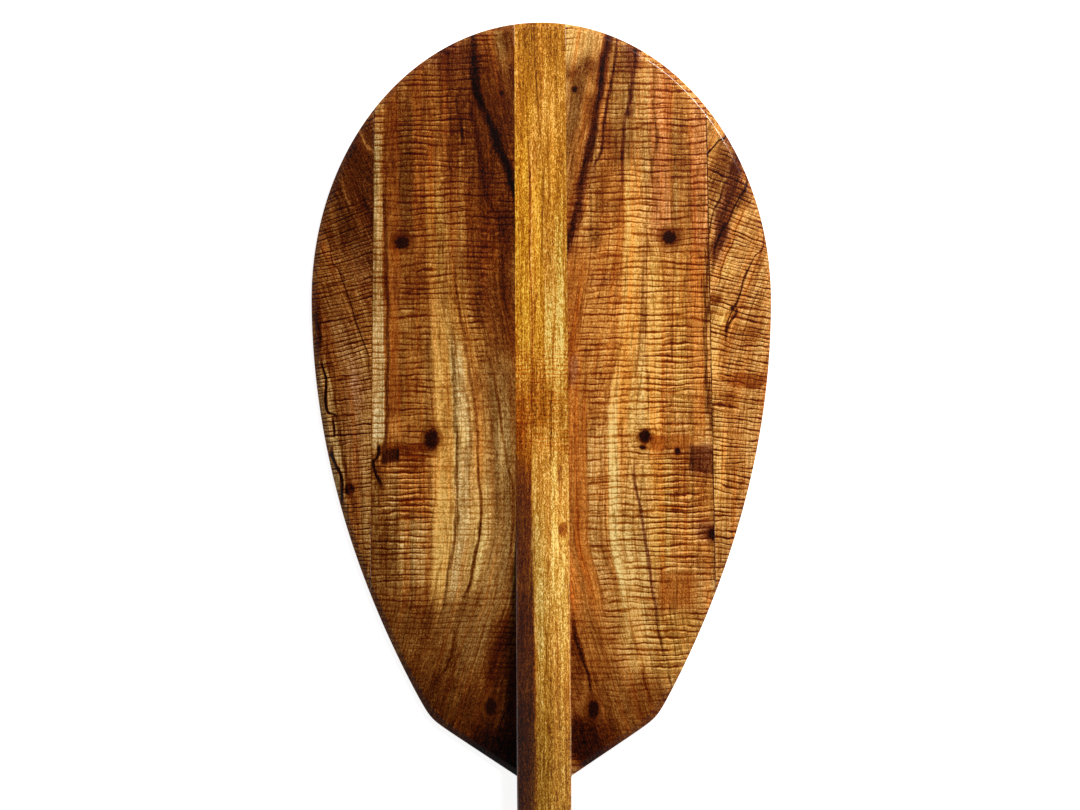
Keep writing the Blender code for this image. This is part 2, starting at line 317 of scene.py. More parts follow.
@dataclass(frozen=True)
class ShaftForm:
    """Spine, shaft and grip, in metres."""

    blade: BladeForm = BladeForm()
    total_length: float = 1.320
    width: float = 0.032
    depth: float = 0.029
    squareness: float = 2.3
    throat_blend: float = 0.110
    spine_length: float = 0.205
    spine_launch: float = 1.8
    bevel_width: float = 0.0105
    bevel_start_width: float = 0.0065
    bevel_drop: float = 0.009
    bevel_flatness: float = 0.92
    crest_crown: float = 0.0008
    crown_share: float = 0.25
    tip_curve_reach: float = 0.060
    grip_width: float = 0.112
    neck_length: float = 0.018
    flare_length: float = 0.034
    bar_depth: float = 0.040
    bar_corner: float = 0.012
    bar_squareness: float = 3.0
    crown_angle: float = math.radians(80)
    joint_gap: float = 0.0003
    tenon_length: float = 0.050
    tenon_share: float = 0.62
    peg_radius: float = 0.003
    peg_points: int = 48
    peg_cover: float = 0.0075
    peg_recess: float = 0.0004
    peg_from_shoulder: float = 0.022

    @property
    def mouth(self) -> float:
        """Station of the grip's mouth."""
        return self.total_length - self.neck_length - self.flare_length - self.bar_depth

    @property
    def shoulder(self) -> float:
        """Station where the shaft steps down to its tenon."""
        return self.mouth - self.joint_gap

    def spine_rise(self, station: float) -> float:
        """Height of the spine's crest above the blade's face.

        Args:
            station: Distance from the tip.

        Returns:
            The height.
        """
        share = clamp((station - self.blade.length + self.spine_length) / self.spine_length)
        launch = self.spine_launch * share * (1 - share) ** 2
        return (self.depth - self.blade.thickness) * (launch + ease(share))

    def bevel_width_at(self, drop: float) -> float:
        """Width of each of the spine's bevels where it falls by a drop."""
        return lerp(self.bevel_start_width, self.bevel_width, drop / self.bevel_drop)

    def stave_top(self, x: float, half: float, station: float) -> float:
        """Height of the stave's upper side inside the blade.

        Args:
            x: Place across the stave.
            half: Half width of the stave there.
            station: Distance from the tip.

        Returns:
            The height, with spine, crest and bevels.
        """
        rise = self.spine_rise(station)
        surface = self.blade.face_height(self.blade.side_distance(x, station))
        drop = min(rise, self.bevel_drop)
        bevel = self.bevel_width_at(drop)
        crest = half - bevel
        crown = min(self.crest_crown, drop * self.crown_share)
        if abs(x) <= crest:
            return surface + rise - crown * (x / crest) ** 2
        share = min((abs(x) - crest) / bevel, 1.0)
        curve = lerp(1 - math.sqrt(1 - share * share), share, self.bevel_flatness)
        return surface + rise - crown - (drop - crown) * curve

    def ring(self, points: int, station: float, half_x: float, half_z: float,
             square: float) -> Section:
        """Superellipse about the shaft's axis.

        Args:
            points: Number of points, from the right over the top.
            station: Distance from the tip.
            half_x: Half width.
            half_z: Half depth.
            square: 2 for an ellipse, and more for squarer corners.

        Returns:
            Points (x, station, height).
        """
        power = 2 / square
        section = []
        for k in range(points):
            angle = 2 * math.pi * k / points
            across, up = math.cos(angle), math.sin(angle)
            x = math.copysign(half_x * abs(across) ** power, across)
            z = math.copysign(half_z * abs(up) ** power, up)
            section.append((x, station, self.depth / 2 + z))
        return section

    def shaft_ring(self, points: int, station: float, scale: float = 1.0) -> Section:
        """Section of the shaft, or of its tenon at a share of the shaft's size."""
        half_x, half_z = scale * self.width / 2, scale * self.depth / 2
        return self.ring(points, station, half_x, half_z, self.squareness)


def deselect_all() -> None:
    """Leave nothing selected, because operators act on whatever is."""
    bpy.ops.object.select_all(action="DESELECT")


def slab(name: str, columns: int, rows: int) -> Piece:
    """Closed board of even faces, two units wide and long and one thick.

    Args:
        name: The piece's name.
        columns: Faces across.
        rows: Faces along.

    Returns:
        The board, ready to be drawn to its outline.
    """
    deselect_all()
    bpy.ops.mesh.primitive_grid_add(x_subdivisions=columns, y_subdivisions=rows, size=2.0)
    piece = bpy.context.object
    piece.name = piece.data.name = name
    bpy.ops.object.mode_set(mode="EDIT")
    bpy.ops.mesh.select_all(action="SELECT")
    bpy.ops.mesh.extrude_region_move(TRANSFORM_OT_translate={"value": (0, 0, 1)})
    bpy.ops.object.mode_set(mode="OBJECT")
    return piece


def post(name: str, points: int, rings: int) -> Piece:
    """Closed round post of unit radius, with rings one unit apart from Z = 0.

    Args:
        name: The piece's name.
        points: Points round each ring.
        rings: Number of rings.

    Returns:
        The post, ready to be drawn to its sections.
    """
    deselect_all()
    bpy.ops.mesh.primitive_circle_add(vertices=points, radius=1.0, fill_type="NGON")
    piece = bpy.context.object
    piece.name = piece.data.name = name
    bpy.ops.object.mode_set(mode="EDIT")
    bpy.ops.mesh.select_mode(type="FACE")
    bpy.ops.mesh.select_all(action="SELECT")
    for _ in range(rings - 1):
        bpy.ops.mesh.extrude_region_move(TRANSFORM_OT_translate={"value": (0, 0, 1)})
    bpy.ops.mesh.select_mode(type="VERT")
    bpy.ops.object.mode_set(mode="OBJECT")
    return piece


def draw_sections(piece: Piece, sections: list[Section], tip_y: float) -> None:
    """Move each ring of a post to its own section.

    Args:
        piece: A post with one ring for each section.
        sections: Points (x, station, height), the same number in each.
        tip_y: Y of the blade's tip.
    """
    points = len(sections[0])
    step = 2 * math.pi / points
    # A circle primitive starts at +Y and turns clockwise seen from above
    for vertex in piece.data.vertices:
        angle = math.atan2(vertex.co.x, vertex.co.y)
        place = round(angle / step) % points
        x, station, height = sections[round(vertex.co.z)][place]
        vertex.co = (x, tip_y - station, height)


def draw_board(piece: Piece, blade: BladeForm, grid: list[list[Point2]]) -> None:
    """Move a slab's points to a board's plan, between the blade's back and its face.

    Args:
        piece: A slab with one point for each of the grid's.
        blade: The blade's outline and thickness.
        grid: Rows of plan points (x, station).
    """
    rows = len(grid) - 1
    columns = len(grid[0]) - 1
    for vertex in piece.data.vertices:
        row = round((vertex.co.y + 1) / 2 * rows)
        column = round((vertex.co.x + 1) / 2 * columns)
        x, station = grid[row][column]
        height = blade.face_height if vertex.co.z > 0.5 else blade.back_height
        vertex.co = (x, blade.tip_y - station, height(blade.rim_distance(x, station)))


def close_up(piece: Piece, sharp_degrees: float = 32.0) -> None:
    """Merge doubles, turn every face outwards and shade the piece smooth between its arrises.

    Args:
        piece: The piece.
        sharp_degrees: Angle from which an arris stays sharp.
    """
    deselect_all()
    piece.select_set(True)
    bpy.context.view_layer.objects.active = piece
    bpy.ops.object.mode_set(mode="EDIT")
    bpy.ops.mesh.select_all(action="SELECT")
    bpy.ops.mesh.remove_doubles(threshold=MERGE)
    bpy.ops.mesh.normals_make_consistent(inside=False)
    bpy.ops.mesh.select_all(action="DESELECT")
    bpy.ops.object.mode_set(mode="OBJECT")
    bpy.ops.object.shade_smooth_by_angle(angle=math.radians(sharp_degrees))
    piece.select_set(False)


def turned(name: str, sections: list[Section], tip_y: float,
           sharp_degrees: float = 32.0) -> Piece:
    """Closed piece drawn to its sections.

    Args:
        name: The piece's name.
        sections: Points (x, station, height), the same number in each.
        tip_y: Y of the blade's tip.
        sharp_degrees: Angle from which an arris stays sharp.

    Returns:
        The piece.
    """
    piece = post(name, len(sections[0]), len(sections))
    draw_sections(piece, sections, tip_y)
    close_up(piece, sharp_degrees)
    return piece


def cut_out(piece: Piece, cutter: Piece) -> None:
    """Cut one piece out of another and throw the cutter away.

    Args:
        piece: The piece that is cut.
        cutter: The piece that is thrown away.
    """
    deselect_all()
    bpy.context.view_layer.objects.active = piece
    piece.select_set(True)
    boolean = piece.modifiers.new("cut", "BOOLEAN")
    boolean.operation = "DIFFERENCE"
    boolean.solver = "EXACT"
    boolean.object = cutter
    bpy.ops.object.modifier_apply(modifier=boolean.name)
    bpy.data.objects.remove(cutter, do_unlink=True)


def mount(piece: Piece, node: str, material: bpy.types.Material) -> None:
    """Give a finished piece its material and body, and hide the CAD node that it stands for.

    Args:
        piece: The finished piece.
        node: CAD node that it stands for.
        material: Its material.
    """
    piece.data.materials.clear()
    piece.data.materials.append(material)
    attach(piece, "root")
    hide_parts(node)
    log.info("%s: %d faces", piece.name, len(piece.data.polygons))


def feed(tree: bpy.types.NodeTree, node: bpy.types.Node, values: dict[str | int, object]) -> None:
    """Feed a node's inputs with sockets, by links, or with values of their own.

    Args:
        tree: Node tree that the node is in.
        node: The node.
        values: Socket or value for each input, by name or number.
    """
    for name, value in values.items():
        if isinstance(value, bpy.types.NodeSocket):
            tree.links.new(value, node.inputs[name])
        else:
            node.inputs[name].default_value = value


def make_node(tree: bpy.types.NodeTree, kind: str, values: dict[str | int, object] | None = None,
              **settings: object) -> bpy.types.Node:
    """New node with its settings made and its inputs fed.

    Args:
        tree: Node tree that it goes into.
        kind: Blender's name for the node.
        values: Socket or value for each input, by name or number.
        settings: Its settings by name.

    Returns:
        The node.
    """
    node = tree.nodes.new(kind)
    for name, value in settings.items():
        setattr(node, name, value)
    feed(tree, node, values or {})
    return node


class Bench:
    """Node tree of one varnished wood, with short calls for the nodes it is made of."""

    def __init__(self, name: str, side: int, tip_y: float) -> None:
        """Start the material.

        Args:
            name: The material's name.
            side: 1 or -1, which turns distances out from the centre line positive on a board.
            tip_y: Y of the blade's tip.
        """
        self.material = bpy.data.materials.new(name)
        self.material.use_nodes = True
        self.tree = self.material.node_tree
        self.shader = self.tree.nodes["Principled BSDF"]
        place = self.tree.nodes.new("ShaderNodeTexCoord").outputs["Object"]
        self.plan = self.mapped(place, (0, tip_y * MM, 0), (side * MM, -MM, MM), "POINT")
        self.across, self.along, self.height = self.split(self.plan)

    def node(self, kind: str, values: dict[str | int, object] | None = None,
             **settings: object) -> bpy.types.Node:
        """New node of the material, with its settings made and its inputs fed."""
        return make_node(self.tree, kind, values, **settings)

    def mapped(self, vector: Socket, move: Point3, scale: Point3,
               kind: str = "TEXTURE") -> Socket:
        """Vector moved and scaled. The kind TEXTURE reads a place on a motif."""
        values = {"Vector": vector, "Location": move, "Scale": scale}
        return self.node("ShaderNodeMapping", values, vector_type=kind).outputs[0]

    def split(self, vector: Socket) -> tuple[Socket, Socket, Socket]:
        """The three parts of a vector."""
        parts = self.node("ShaderNodeSeparateXYZ", {0: vector}).outputs
        return parts[0], parts[1], parts[2]

    def joined(self, x: object, y: object, z: object) -> Socket:
        """Vector from three parts."""
        return self.node("ShaderNodeCombineXYZ", {0: x, 1: y, 2: z}).outputs[0]

    def math(self, operation: str, first: object, second: object = 0.0,
             third: object = 0.0) -> Socket:
        """Result of a Math node."""
        values = {0: first, 1: second, 2: third}
        return self.node("ShaderNodeMath", values, operation=operation).outputs[0]

    def moved(self, vector: Socket, move: Point3) -> Socket:
        """Vector with a fixed one added."""
        values = {0: vector, 1: move}
        return self.node("ShaderNodeVectorMath", values, operation="ADD").outputs[0]

    def oval(self, place: Place, centre: Point2, reach: Point2, turn: float = 0.0) -> Socket:
        """Square of the distance from an oval's centre, which is 1 on its edge.

        Args:
            place: Place out and down.
            centre: The oval's centre.
            reach: Its half breadth and half length.
            turn: Its turn in radians.

        Returns:
            The square of the distance.
        """
        total: Socket | float = 0.0
        for size, (c, s) in zip(reach, ((math.cos(turn), math.sin(turn)),
                                        (-math.sin(turn), math.cos(turn)))):
            start = -(centre[0] * c + centre[1] * s) / size
            off = self.math("MULTIPLY_ADD", place[0], c / size, start)
            off = self.math("MULTIPLY_ADD", place[1], s / size, off)
            total = self.math("MULTIPLY_ADD", off, off, total)
        return total

    def fade(self, value: object, start: float, end: float, low: object = 0.0,
             high: object = 1.0) -> Socket:
        """Smooth step of a value, from low at the start to high at the end.

        Args:
            value: Value that is followed.
            start: Value at which the step starts.
            end: Value at which it ends.
            low: Result before it.
            high: Result after it.

        Returns:
            The result.
        """
        if start > end:
            start, end, low, high = end, start, high, low
        values = {0: value, 1: start, 2: end, 3: low, 4: high}
        return self.node("ShaderNodeMapRange", values, interpolation_type="SMOOTHSTEP").outputs[0]

    def curve(self, value: object, points: list[Point2]) -> Socket:
        """Smooth curve through points whose places and values are from 0 to 1.

        Args:
            value: Place on the curve.
            points: Places and values, in order.

        Returns:
            Height of the curve.
        """
        node = self.node("ShaderNodeFloatCurve", {"Value": value})
        line = node.mapping.curves[0]
        for place, height in points[1:-1]:
            line.points.new(place, height)
        line.points[0].location = points[0]
        line.points[len(line.points) - 1].location = points[-1]
        for point in line.points:
            point.handle_type = "AUTO_CLAMPED"
        node.mapping.update()
        return node.outputs[0]

    def noise(self, vector: Socket, pitch: Point3, detail: float = 2.0, rough: float = 0.5,
              warp: float = 0.0) -> Socket:
        """Noise whose grains have the given size in millimetres along each axis."""
        values = {"Vector": self.mapped(vector, (0, 0, 0), pitch), "Scale": 1.0,
                   "Detail": detail, "Roughness": rough, "Distortion": warp}
        return self.node("ShaderNodeTexNoise", values).outputs[0]

    def swing(self, vector: Socket, pitch: Point3, detail: float = 2.0,
              rough: float = 0.5) -> Socket:
        """Noise that swings about 0."""
        return self.math("SUBTRACT", self.noise(vector, pitch, detail, rough), NOISE_MIDDLE)

    def bumps(self, strength: float, depth: float, height: Socket) -> Socket:
        """Normal of a surface with small bumps, whose depth is in metres."""
        values = {"Strength": strength, "Distance": depth, "Height": height}
        return self.node("ShaderNodeBump", values).outputs[0]

    def mix(self, share: object, first: object, second: object, blend: str = "MIX") -> Socket:
        """Mix of two colours."""
        values = {0: share, 6: first, 7: second}
        return self.node("ShaderNodeMix", values, data_type="RGBA", blend_type=blend).outputs[2]

    def blend(self, share: object, first: object, second: object) -> Socket:
        """Number a share of the way from the first to the second."""
        values = {0: share, 2: first, 3: second}
        return self.node("ShaderNodeMix", values, data_type="FLOAT").outputs[0]

    def lean(self, level: Socket, noise: Socket, amount: float) -> Socket:
        """Level raised where a noise is high and lowered where it is low."""
        swing = self.fade(noise, *NOISE_SPAN, -amount, amount)
        return self.math("ADD", level, swing)


class Tint(Enum):
    """Shift of hue in the wood, as factors on its linear red, green and blue."""

    PLAIN = (1.00, 1.00, 1.00, 1.0)
    RED = (1.04, 0.74, 0.42, 1.0)
    ORANGE = (1.03, 0.88, 0.66, 1.0)
    AMBER = (1.00, 1.02, 0.79, 1.0)
    GOLD = (1.00, 1.06, 1.00, 1.0)
    YELLOW = (1.00, 1.18, 1.25, 1.0)
    OLIVE = (0.97, 1.14, 1.35, 1.0)
    STRAW = (0.98, 1.29, 1.85, 1.0)
    PALE = (0.98, 1.42, 2.40, 1.0)
    ROSE = (1.03, 0.84, 0.98, 1.0)
    VIOLET = (0.94, 0.92, 2.10, 1.0)
    EMBER = (1.03, 0.64, 0.22, 1.0)
    HONEY = (1.02, 0.98, 0.36, 1.0)
    DUSK = (0.98, 1.12, 1.75, 1.0)


@dataclass(frozen=True)
class Patch:
    """Soft oval in the wood that tends to a level of lightness or to a tint.

    Places are in millimetres, out from the centre line and down from the tip.
    """

    centre: Point2
    reach: Point2
    level: float = 0.5
    strength: float = 0.8
    tint: Tint = Tint.PLAIN
    turn: float = 0.0
    core: float = 0.0

    def mask(self, bench: Bench, place: Place) -> Socket:
        """Strength in the middle, fading to nothing at the oval's edge."""
        distance = bench.oval(place, self.centre, self.reach, math.radians(self.turn))
        return bench.fade(bench.math("SQRT", distance), 1.0, self.core, 0.0, self.strength)


@dataclass(frozen=True)
class Band:
    """Column of one shade that runs along the grain.

    Its sides are distances across the grain and its run is from station to station. The tail is
    how far its lower end fades, where that isn't as its upper end does.
    """

    sides: Point2
    run: Point2
    level: float
    tint: Tint = Tint.PLAIN
    strength: float = 0.85
    curl: float = 1.0
    soft: float = 1.6
    ends: float = 14.0
    tail: float = 0.0

    def mask(self, bench: Bench, place: Place) -> Socket:
        """Strength inside the column, fading at its sides and its ends.

        Args:
            bench: The material's nodes.
            place: Place along the grain.

        Returns:
            The mask.
        """
        across, along = place
        tail = self.tail or self.ends
        (inner, outer), (first, last) = self.sides, self.run
        edges = (
            bench.fade(across, inner - self.soft, inner + self.soft),
            bench.fade(across, outer + self.soft, outer - self.soft, 0.0, self.strength),
            bench.fade(along, first - self.ends, first + self.ends),
            bench.fade(along, last + tail, last - tail),
        )
        mask = edges[0]
        for edge in edges[1:]:
            mask = bench.math("MULTIPLY", mask, edge)
        return mask


@dataclass(frozen=True)
class Streak:
    """Line that runs along the grain, through points (station, out) in millimetres."""

    line: tuple[Point2, ...]
    width: float
    level: float = 0.1
    strength: float = 0.9
    ends: Point2 = (12.0, 12.0)
    ragged: float = 1.2
    core: float = 0.25
    tint: Tint = Tint.PLAIN

    # Length and breadth that the line's curve spans, and where it starts inside the centre line
    FIELD = (460.0, 200.0, 30.0)

    def mask(self, bench: Bench, place: Place, grain: Socket) -> Socket:
        """Strength along the line, fading off to its sides and past its ends.

        Args:
            bench: The material's nodes.
            place: Place on the board, with the grain's wander.
            grain: Number that varies quickly across the grain, about 0.

        Returns:
            The mask.
        """
        length, breadth, start = self.FIELD
        out, station = place
        points = [(clamp(s / length), (o + start) / breadth) for s, o in self.line]
        points = [(0.0, points[0][1]), *points, (1.0, points[-1][1])]
        share = bench.math("DIVIDE", station, length)
        middle = bench.math("MULTIPLY_ADD", bench.curve(share, points), breadth, -start)
        middle = bench.math("MULTIPLY_ADD", grain, self.ragged * 2, middle)
        off = bench.math("ABSOLUTE", bench.math("SUBTRACT", out, middle))
        side = bench.fade(off, self.width, self.width * self.core, 0.0, self.strength)
        first, last = self.line[0][0], self.line[-1][0]
        before = bench.fade(station, first - self.ends[0], first + self.ends[0])
        after = bench.fade(station, last + self.ends[1], last - self.ends[1])
        return bench.math("MULTIPLY", side, bench.math("MULTIPLY", before, after))


@dataclass(frozen=True)
class Knot:
    """Small dark knot with a halo, round which the grain swerves."""

    centre: Point2
    radius: float
    level: float = 0.10
    halo: float = 0.34
    spread: float = 2.1
    stretch: float = 1.15


@dataclass(frozen=True)
class Curl:
    """Curly figure: fine dark bands across the grain, with painted highlights beside them.

    Lengths are in millimetres. A reach is in runs across the board and in pitches along it.
    """

    pitch: float = 3.5
    run: float = 33.0
    slopes: tuple[Point2, ...] = ((0, 0), (460, 0))
    depth: float = 0.25
    # Strength of the painted highlights beside the bands, as a share of the lightness
    painted_glint: float = 0.15
    wave: float = 0.95
    calm: tuple[Patch, ...] = ()
    strong: tuple[Patch, ...] = ()
    floor: float = 0.30
    slope_scale: float = 60.0
    slow_reach: float = 4.0
    quick_reach: Point2 = (0.16, 1.3)
    quick_share: float = 0.42
    pair_pitch: Point3 = (24, 9, 20)
    pair_span: Point2 = (0.35, 0.65)
    pair_share: float = 0.5
    single_share: float = 0.66
    uneven_reach: Point2 = (0.7, 0.8)
    uneven_share: float = 3.0
    fine_pitch: Point3 = (2.6, 0.8, 4)
    fine_share: float = 1.0
    break_pitch: Point3 = (15, 4.4, 20)
    break_span: Point2 = (0.30, 0.58)
    # Painted highlights: their lag behind each band, their break-up and their span
    painted_glint_lag: float = 1.5
    painted_glint_break: float = 1.2
    painted_glint_span: Point2 = (0.1, 1.1)
    shade_span: Point2 = (-0.35, 1.1)
    # Boosts in strong patches: deeper bands and brighter painted highlights
    strong_shade: float = 0.45
    strong_painted_glint: float = 3.4


@dataclass(frozen=True)
class Flow:
    """Sideways run of the grain: shifts (station, millimetres), all over and by the stave."""

    wide: tuple[Point2, ...] = ((0, 0), (460, 0))
    near: tuple[Point2, ...] = ((0, 0), (460, 0))
    span: Point2 = (26.0, 78.0)
    wedge: tuple[Point2, ...] = ()
    wedge_slope: float = 0.17

    # Length that a curve of shifts spans, and its breadth, half of it to each side
    FIELD = (460.0, 120.0)

    def shifted(self, bench: Bench, station: Socket, line: tuple[Point2, ...]) -> Socket:
        """Value of a line of (station, shift) at each station.

        Args:
            bench: The material's nodes.
            station: Millimetres down from the tip.
            line: Stations and shifts, in order.

        Returns:
            The shift in millimetres.
        """
        length, breadth = self.FIELD
        points = [(s / length, shift / breadth + 0.5) for s, shift in line]
        share = bench.math("DIVIDE", station, length)
        return bench.math("MULTIPLY_ADD", bench.curve(share, points), breadth, -breadth / 2)

    def followed(self, bench: Bench, place: Place) -> Place:
        """Place measured across and along the grain.

        Args:
            bench: The material's nodes.
            place: Place on the board.

        Returns:
            Place along the grain.
        """
        out, along = place
        across = bench.math("ADD", out, self.shifted(bench, along, self.wide))
        share = bench.fade(out, self.span[1], self.span[0])
        across = bench.math("MULTIPLY_ADD", self.shifted(bench, along, self.near), share, across)
        if self.wedge:
            straight = bench.math("MULTIPLY_ADD", along, self.wedge_slope, out)
            within = bench.math("LESS_THAN", out, self.shifted(bench, along, self.wedge))
            across = bench.blend(within, across, straight)
        return across, along


GRAIN_TONES = (
    (0.00, (3, 0, 0)), (0.10, (20, 3, 0)), (0.20, (48, 9, 0)), (0.31, (78, 27, 0)),
    (0.40, (101, 45, 4)), (0.50, (127, 69, 19)), (0.60, (152, 93, 34)), (0.70, (178, 119, 53)),
    (0.80, (204, 145, 72)), (0.90, (230, 172, 95)), (1.00, (252, 203, 127)),
)
STAVE_TONES = (
    (0.00, (3, 0, 0)), (0.10, (26, 5, 0)), (0.25, (64, 22, 0)), (0.35, (90, 37, 2)),
    (0.44, (112, 53, 6)), (0.54, (138, 74, 11)), (0.64, (163, 97, 19)), (0.74, (188, 121, 31)),
    (0.84, (214, 148, 51)), (0.93, (238, 180, 80)), (1.00, (252, 210, 122)),
)


@dataclass(frozen=True)
class Varnish:
    """Clear gloss coat over faintly uneven wood, with pitches in millimetres and depths in metres."""

    gloss: float
    refraction: float = 1.45
    wood_sheen: float = 0.06
    wood_roughness: Point2 = (0.42, 0.56)
    wood_pitch: Point3 = (9, 26, 9)
    fibre_pitch: Point3 = (0.7, 26, 2)
    fibre_strength: float = 0.35
    fibre_depth: float = 0.00012
    brush_pitch: Point3 = (7, 30, 7)
    peel_pitch: Point3 = (1.1, 3.2, 1.6)
    peel_share: float = 0.22
    coat_strength: float = 0.5
    coat_depth: float = 0.00022

    def coat(self, bench: Bench, colour: Socket, place: Socket) -> None:
        """Give the wood its colour, its roughness, its bumps and the coat over it.

        Args:
            bench: The material's nodes.
            colour: Colour of the wood.
            place: Place on the board, shifted by the board's seed.
        """
        rough = bench.noise(place, self.wood_pitch, 3.0)
        rough = bench.fade(rough, *NOISE_SPAN, *self.wood_roughness)
        fibres = bench.noise(place, self.fibre_pitch, 2.0, 0.6)
        brushed = bench.noise(place, self.brush_pitch, 2.0, 0.5)
        peel = bench.noise(place, self.peel_pitch, 1.0, 0.5)
        flow = bench.math("MULTIPLY_ADD", peel, self.peel_share, brushed)
        feed(bench.tree, bench.shader, {
            "Base Color": colour,
            "Roughness": rough,
            "Specular IOR Level": self.wood_sheen,
            "Coat Weight": 1.0,
            "Coat Roughness": self.gloss,
            "Coat IOR": self.refraction,
            "Normal": bench.bumps(self.fibre_strength, self.fibre_depth, fibres),
            "Coat Normal": bench.bumps(self.coat_strength, self.coat_depth, flow),
        })


@dataclass(frozen=True)
class Koa:
    """One board's wood under clear gloss varnish, drawn feature by feature."""

    name: str
    base: float
    tones: tuple[tuple[float, tuple[int, int, int]], ...] = GRAIN_TONES
    flow: Flow = Flow()
    bands: tuple[Band, ...] = ()
    patches: tuple[Patch, ...] = ()
    streaks: tuple[Streak, ...] = ()
    knots: tuple[Knot, ...] = ()
    curl: Curl | None = None
    seam_line: float = 0.0
    grains: tuple[Point3, ...] = (
        (12, 34, 0.05), (3.4, 130, 0.055), (1.1, 13, 0.06), (1.6, 2.6, 0.07), (0.66, 0.9, 0.15))
    pore: float = 0.13
    thread: float = 0.18
    hue: float = 0.75
    waver: float = 3.6
    gloss: float = 0.09
    seed: float = 0.0

    # Sizes of the noises' grains in millimetres: across, along and through the board
    WANDER = (26, 95, 26)
    FIBRE = (1.1, 16, 4)
    WAVER = (9, 24, 9)
    DRIFT = (3.8, 120, 20)
    THREAD = (2.3, 90, 7)
    PORE = (0.34, 4.0, 1.2)
    KNOT_EDGE = (1.6, 1.6, 1.6)
    KNOT_SPECK = (0.7, 0.7, 0.7)
    # Millimetres that those noises shift the marks
    WANDER_OUT = 2.6
    FIBRE_OUT = 1.8
    WAVER_DOWN = 6.0
    GLUE_OUT = 1.1
    # Levels of noise at which a feature starts and is full
    DRIFT_SPANS = ((Tint.RED, (0.50, 0.70)), (Tint.OLIVE, (0.50, 0.30)))
    THREAD_SPAN = (0.045, 0.008)
    PORE_SPAN = (0.38, 0.26)
    # Knots: the grain's swerve, in radii and strength, then fades in radii and levels
    SWERVE = (4, 3)
    SWERVE_STRENGTH = 0.45
    HALO_INSIDE = 0.9
    HALO_STRENGTH = 0.65
    HEART_SPAN = (1.25, 0.75)
    HEART_STRENGTH = 0.95
    SPECK_SPAN = (0.35, 0.75)
    SPECK_LEVELS = (-0.05, 0.14)
    # Glue line: half widths in millimetres and its level
    GLUE_SPAN = (0.75, 0.15)
    GLUE_LEVEL = 0.10

    def dress(self, side: int, blade: BladeForm) -> bpy.types.Material:
        """Make the board's material.

        Args:
            side: 1 or -1, the way that out from the centre line points.
            blade: Form of the blade, for its tip and its seams.

        Returns:
            The material.
        """
        bench = Bench(self.name, side, blade.tip_y)
        shifted = bench.moved(bench.plan, (self.seed, self.seed * 2, 0))
        wander = bench.swing(shifted, self.WANDER, 1.0)
        grain = bench.swing(shifted, self.FIBRE, 2.0, 0.6)
        waver = bench.swing(shifted, self.WAVER, 1.0)
        sway = bench.math("MULTIPLY_ADD", wander, self.WANDER_OUT,
                          bench.math("MULTIPLY", grain, self.FIBRE_OUT))
        sway = bench.math("MULTIPLY_ADD", waver, self.waver, sway)
        place = (bench.math("ADD", bench.across, sway),
                 bench.math("MULTIPLY_ADD", waver, self.WAVER_DOWN, bench.along))
        level, power, hue = self.features(bench, place, grain)
        across, along = self.flow.followed(bench, self.swerve(bench))
        figured = bench.joined(bench.math("ADD", across, self.seed), along, bench.height)
        level = self.grain_lines(bench, level, figured)
        if self.curl:
            level, shade = self.curl_bands(bench, level, power, place, self.curl)
            hue = bench.mix(shade, hue, Tint.EMBER.value, "MULTIPLY")
        level = self.knot_marks(bench, level)
        if self.seam_line:
            level = self.glue_line(bench, level, grain, blade)
        drift = bench.noise(figured, self.DRIFT, 2.0, 0.6)
        for tint, ends in self.DRIFT_SPANS:
            mask = bench.fade(drift, *ends, 0.0, self.hue)
            hue = bench.mix(mask, hue, tint.value, "MULTIPLY")
        colour = bench.mix(1.0, self.coloured(bench, level), hue, "MULTIPLY")
        Varnish(self.gloss).coat(bench, colour, shifted)
        return bench.material

    def features(self, bench: Bench, place: Place,
                 grain: Socket) -> tuple[Socket, Socket, Socket]:
        """Bands, patches and streaks, each over the ones before it.

        Args:
            bench: The material's nodes.
            place: Place on the board, with the grain's wander.
            grain: Number that varies quickly across the grain, about 0.

        Returns:
            The lightness, the share of the curl's power and the factors on the colour.
        """
        along_grain = self.flow.followed(bench, place)
        level: Socket | float = self.base
        power: Socket | float = 1.0
        hue: Socket | tuple[float, ...] = Tint.PLAIN.value
        for mark in (*self.bands, *self.patches, *self.streaks):
            if isinstance(mark, Band):
                mask = mark.mask(bench, along_grain)
                power = bench.blend(mask, power, mark.curl)
            elif isinstance(mark, Patch):
                mask = mark.mask(bench, place)
            else:
                mask = mark.mask(bench, place, grain)
            level = bench.blend(mask, level, mark.level)
            hue = bench.mix(mask, hue, mark.tint.value)
        return level, power, hue

    def swerve(self, bench: Bench) -> Place:
        """Place on the board with the grain bent round each knot.

        Args:
            bench: The material's nodes.

        Returns:
            Millimetres out from the centre line and down from the tip.
        """
        across, along = bench.across, bench.along
        for knot in self.knots:
            reach = (knot.radius * self.SWERVE[0], knot.radius * self.SWERVE[1])
            near = Patch(knot.centre, reach, strength=self.SWERVE_STRENGTH)
            push = near.mask(bench, (bench.across, bench.along))
            across = bench.blend(push, across, knot.centre[0])
            along = bench.blend(push, along, knot.centre[1])
        return across, along

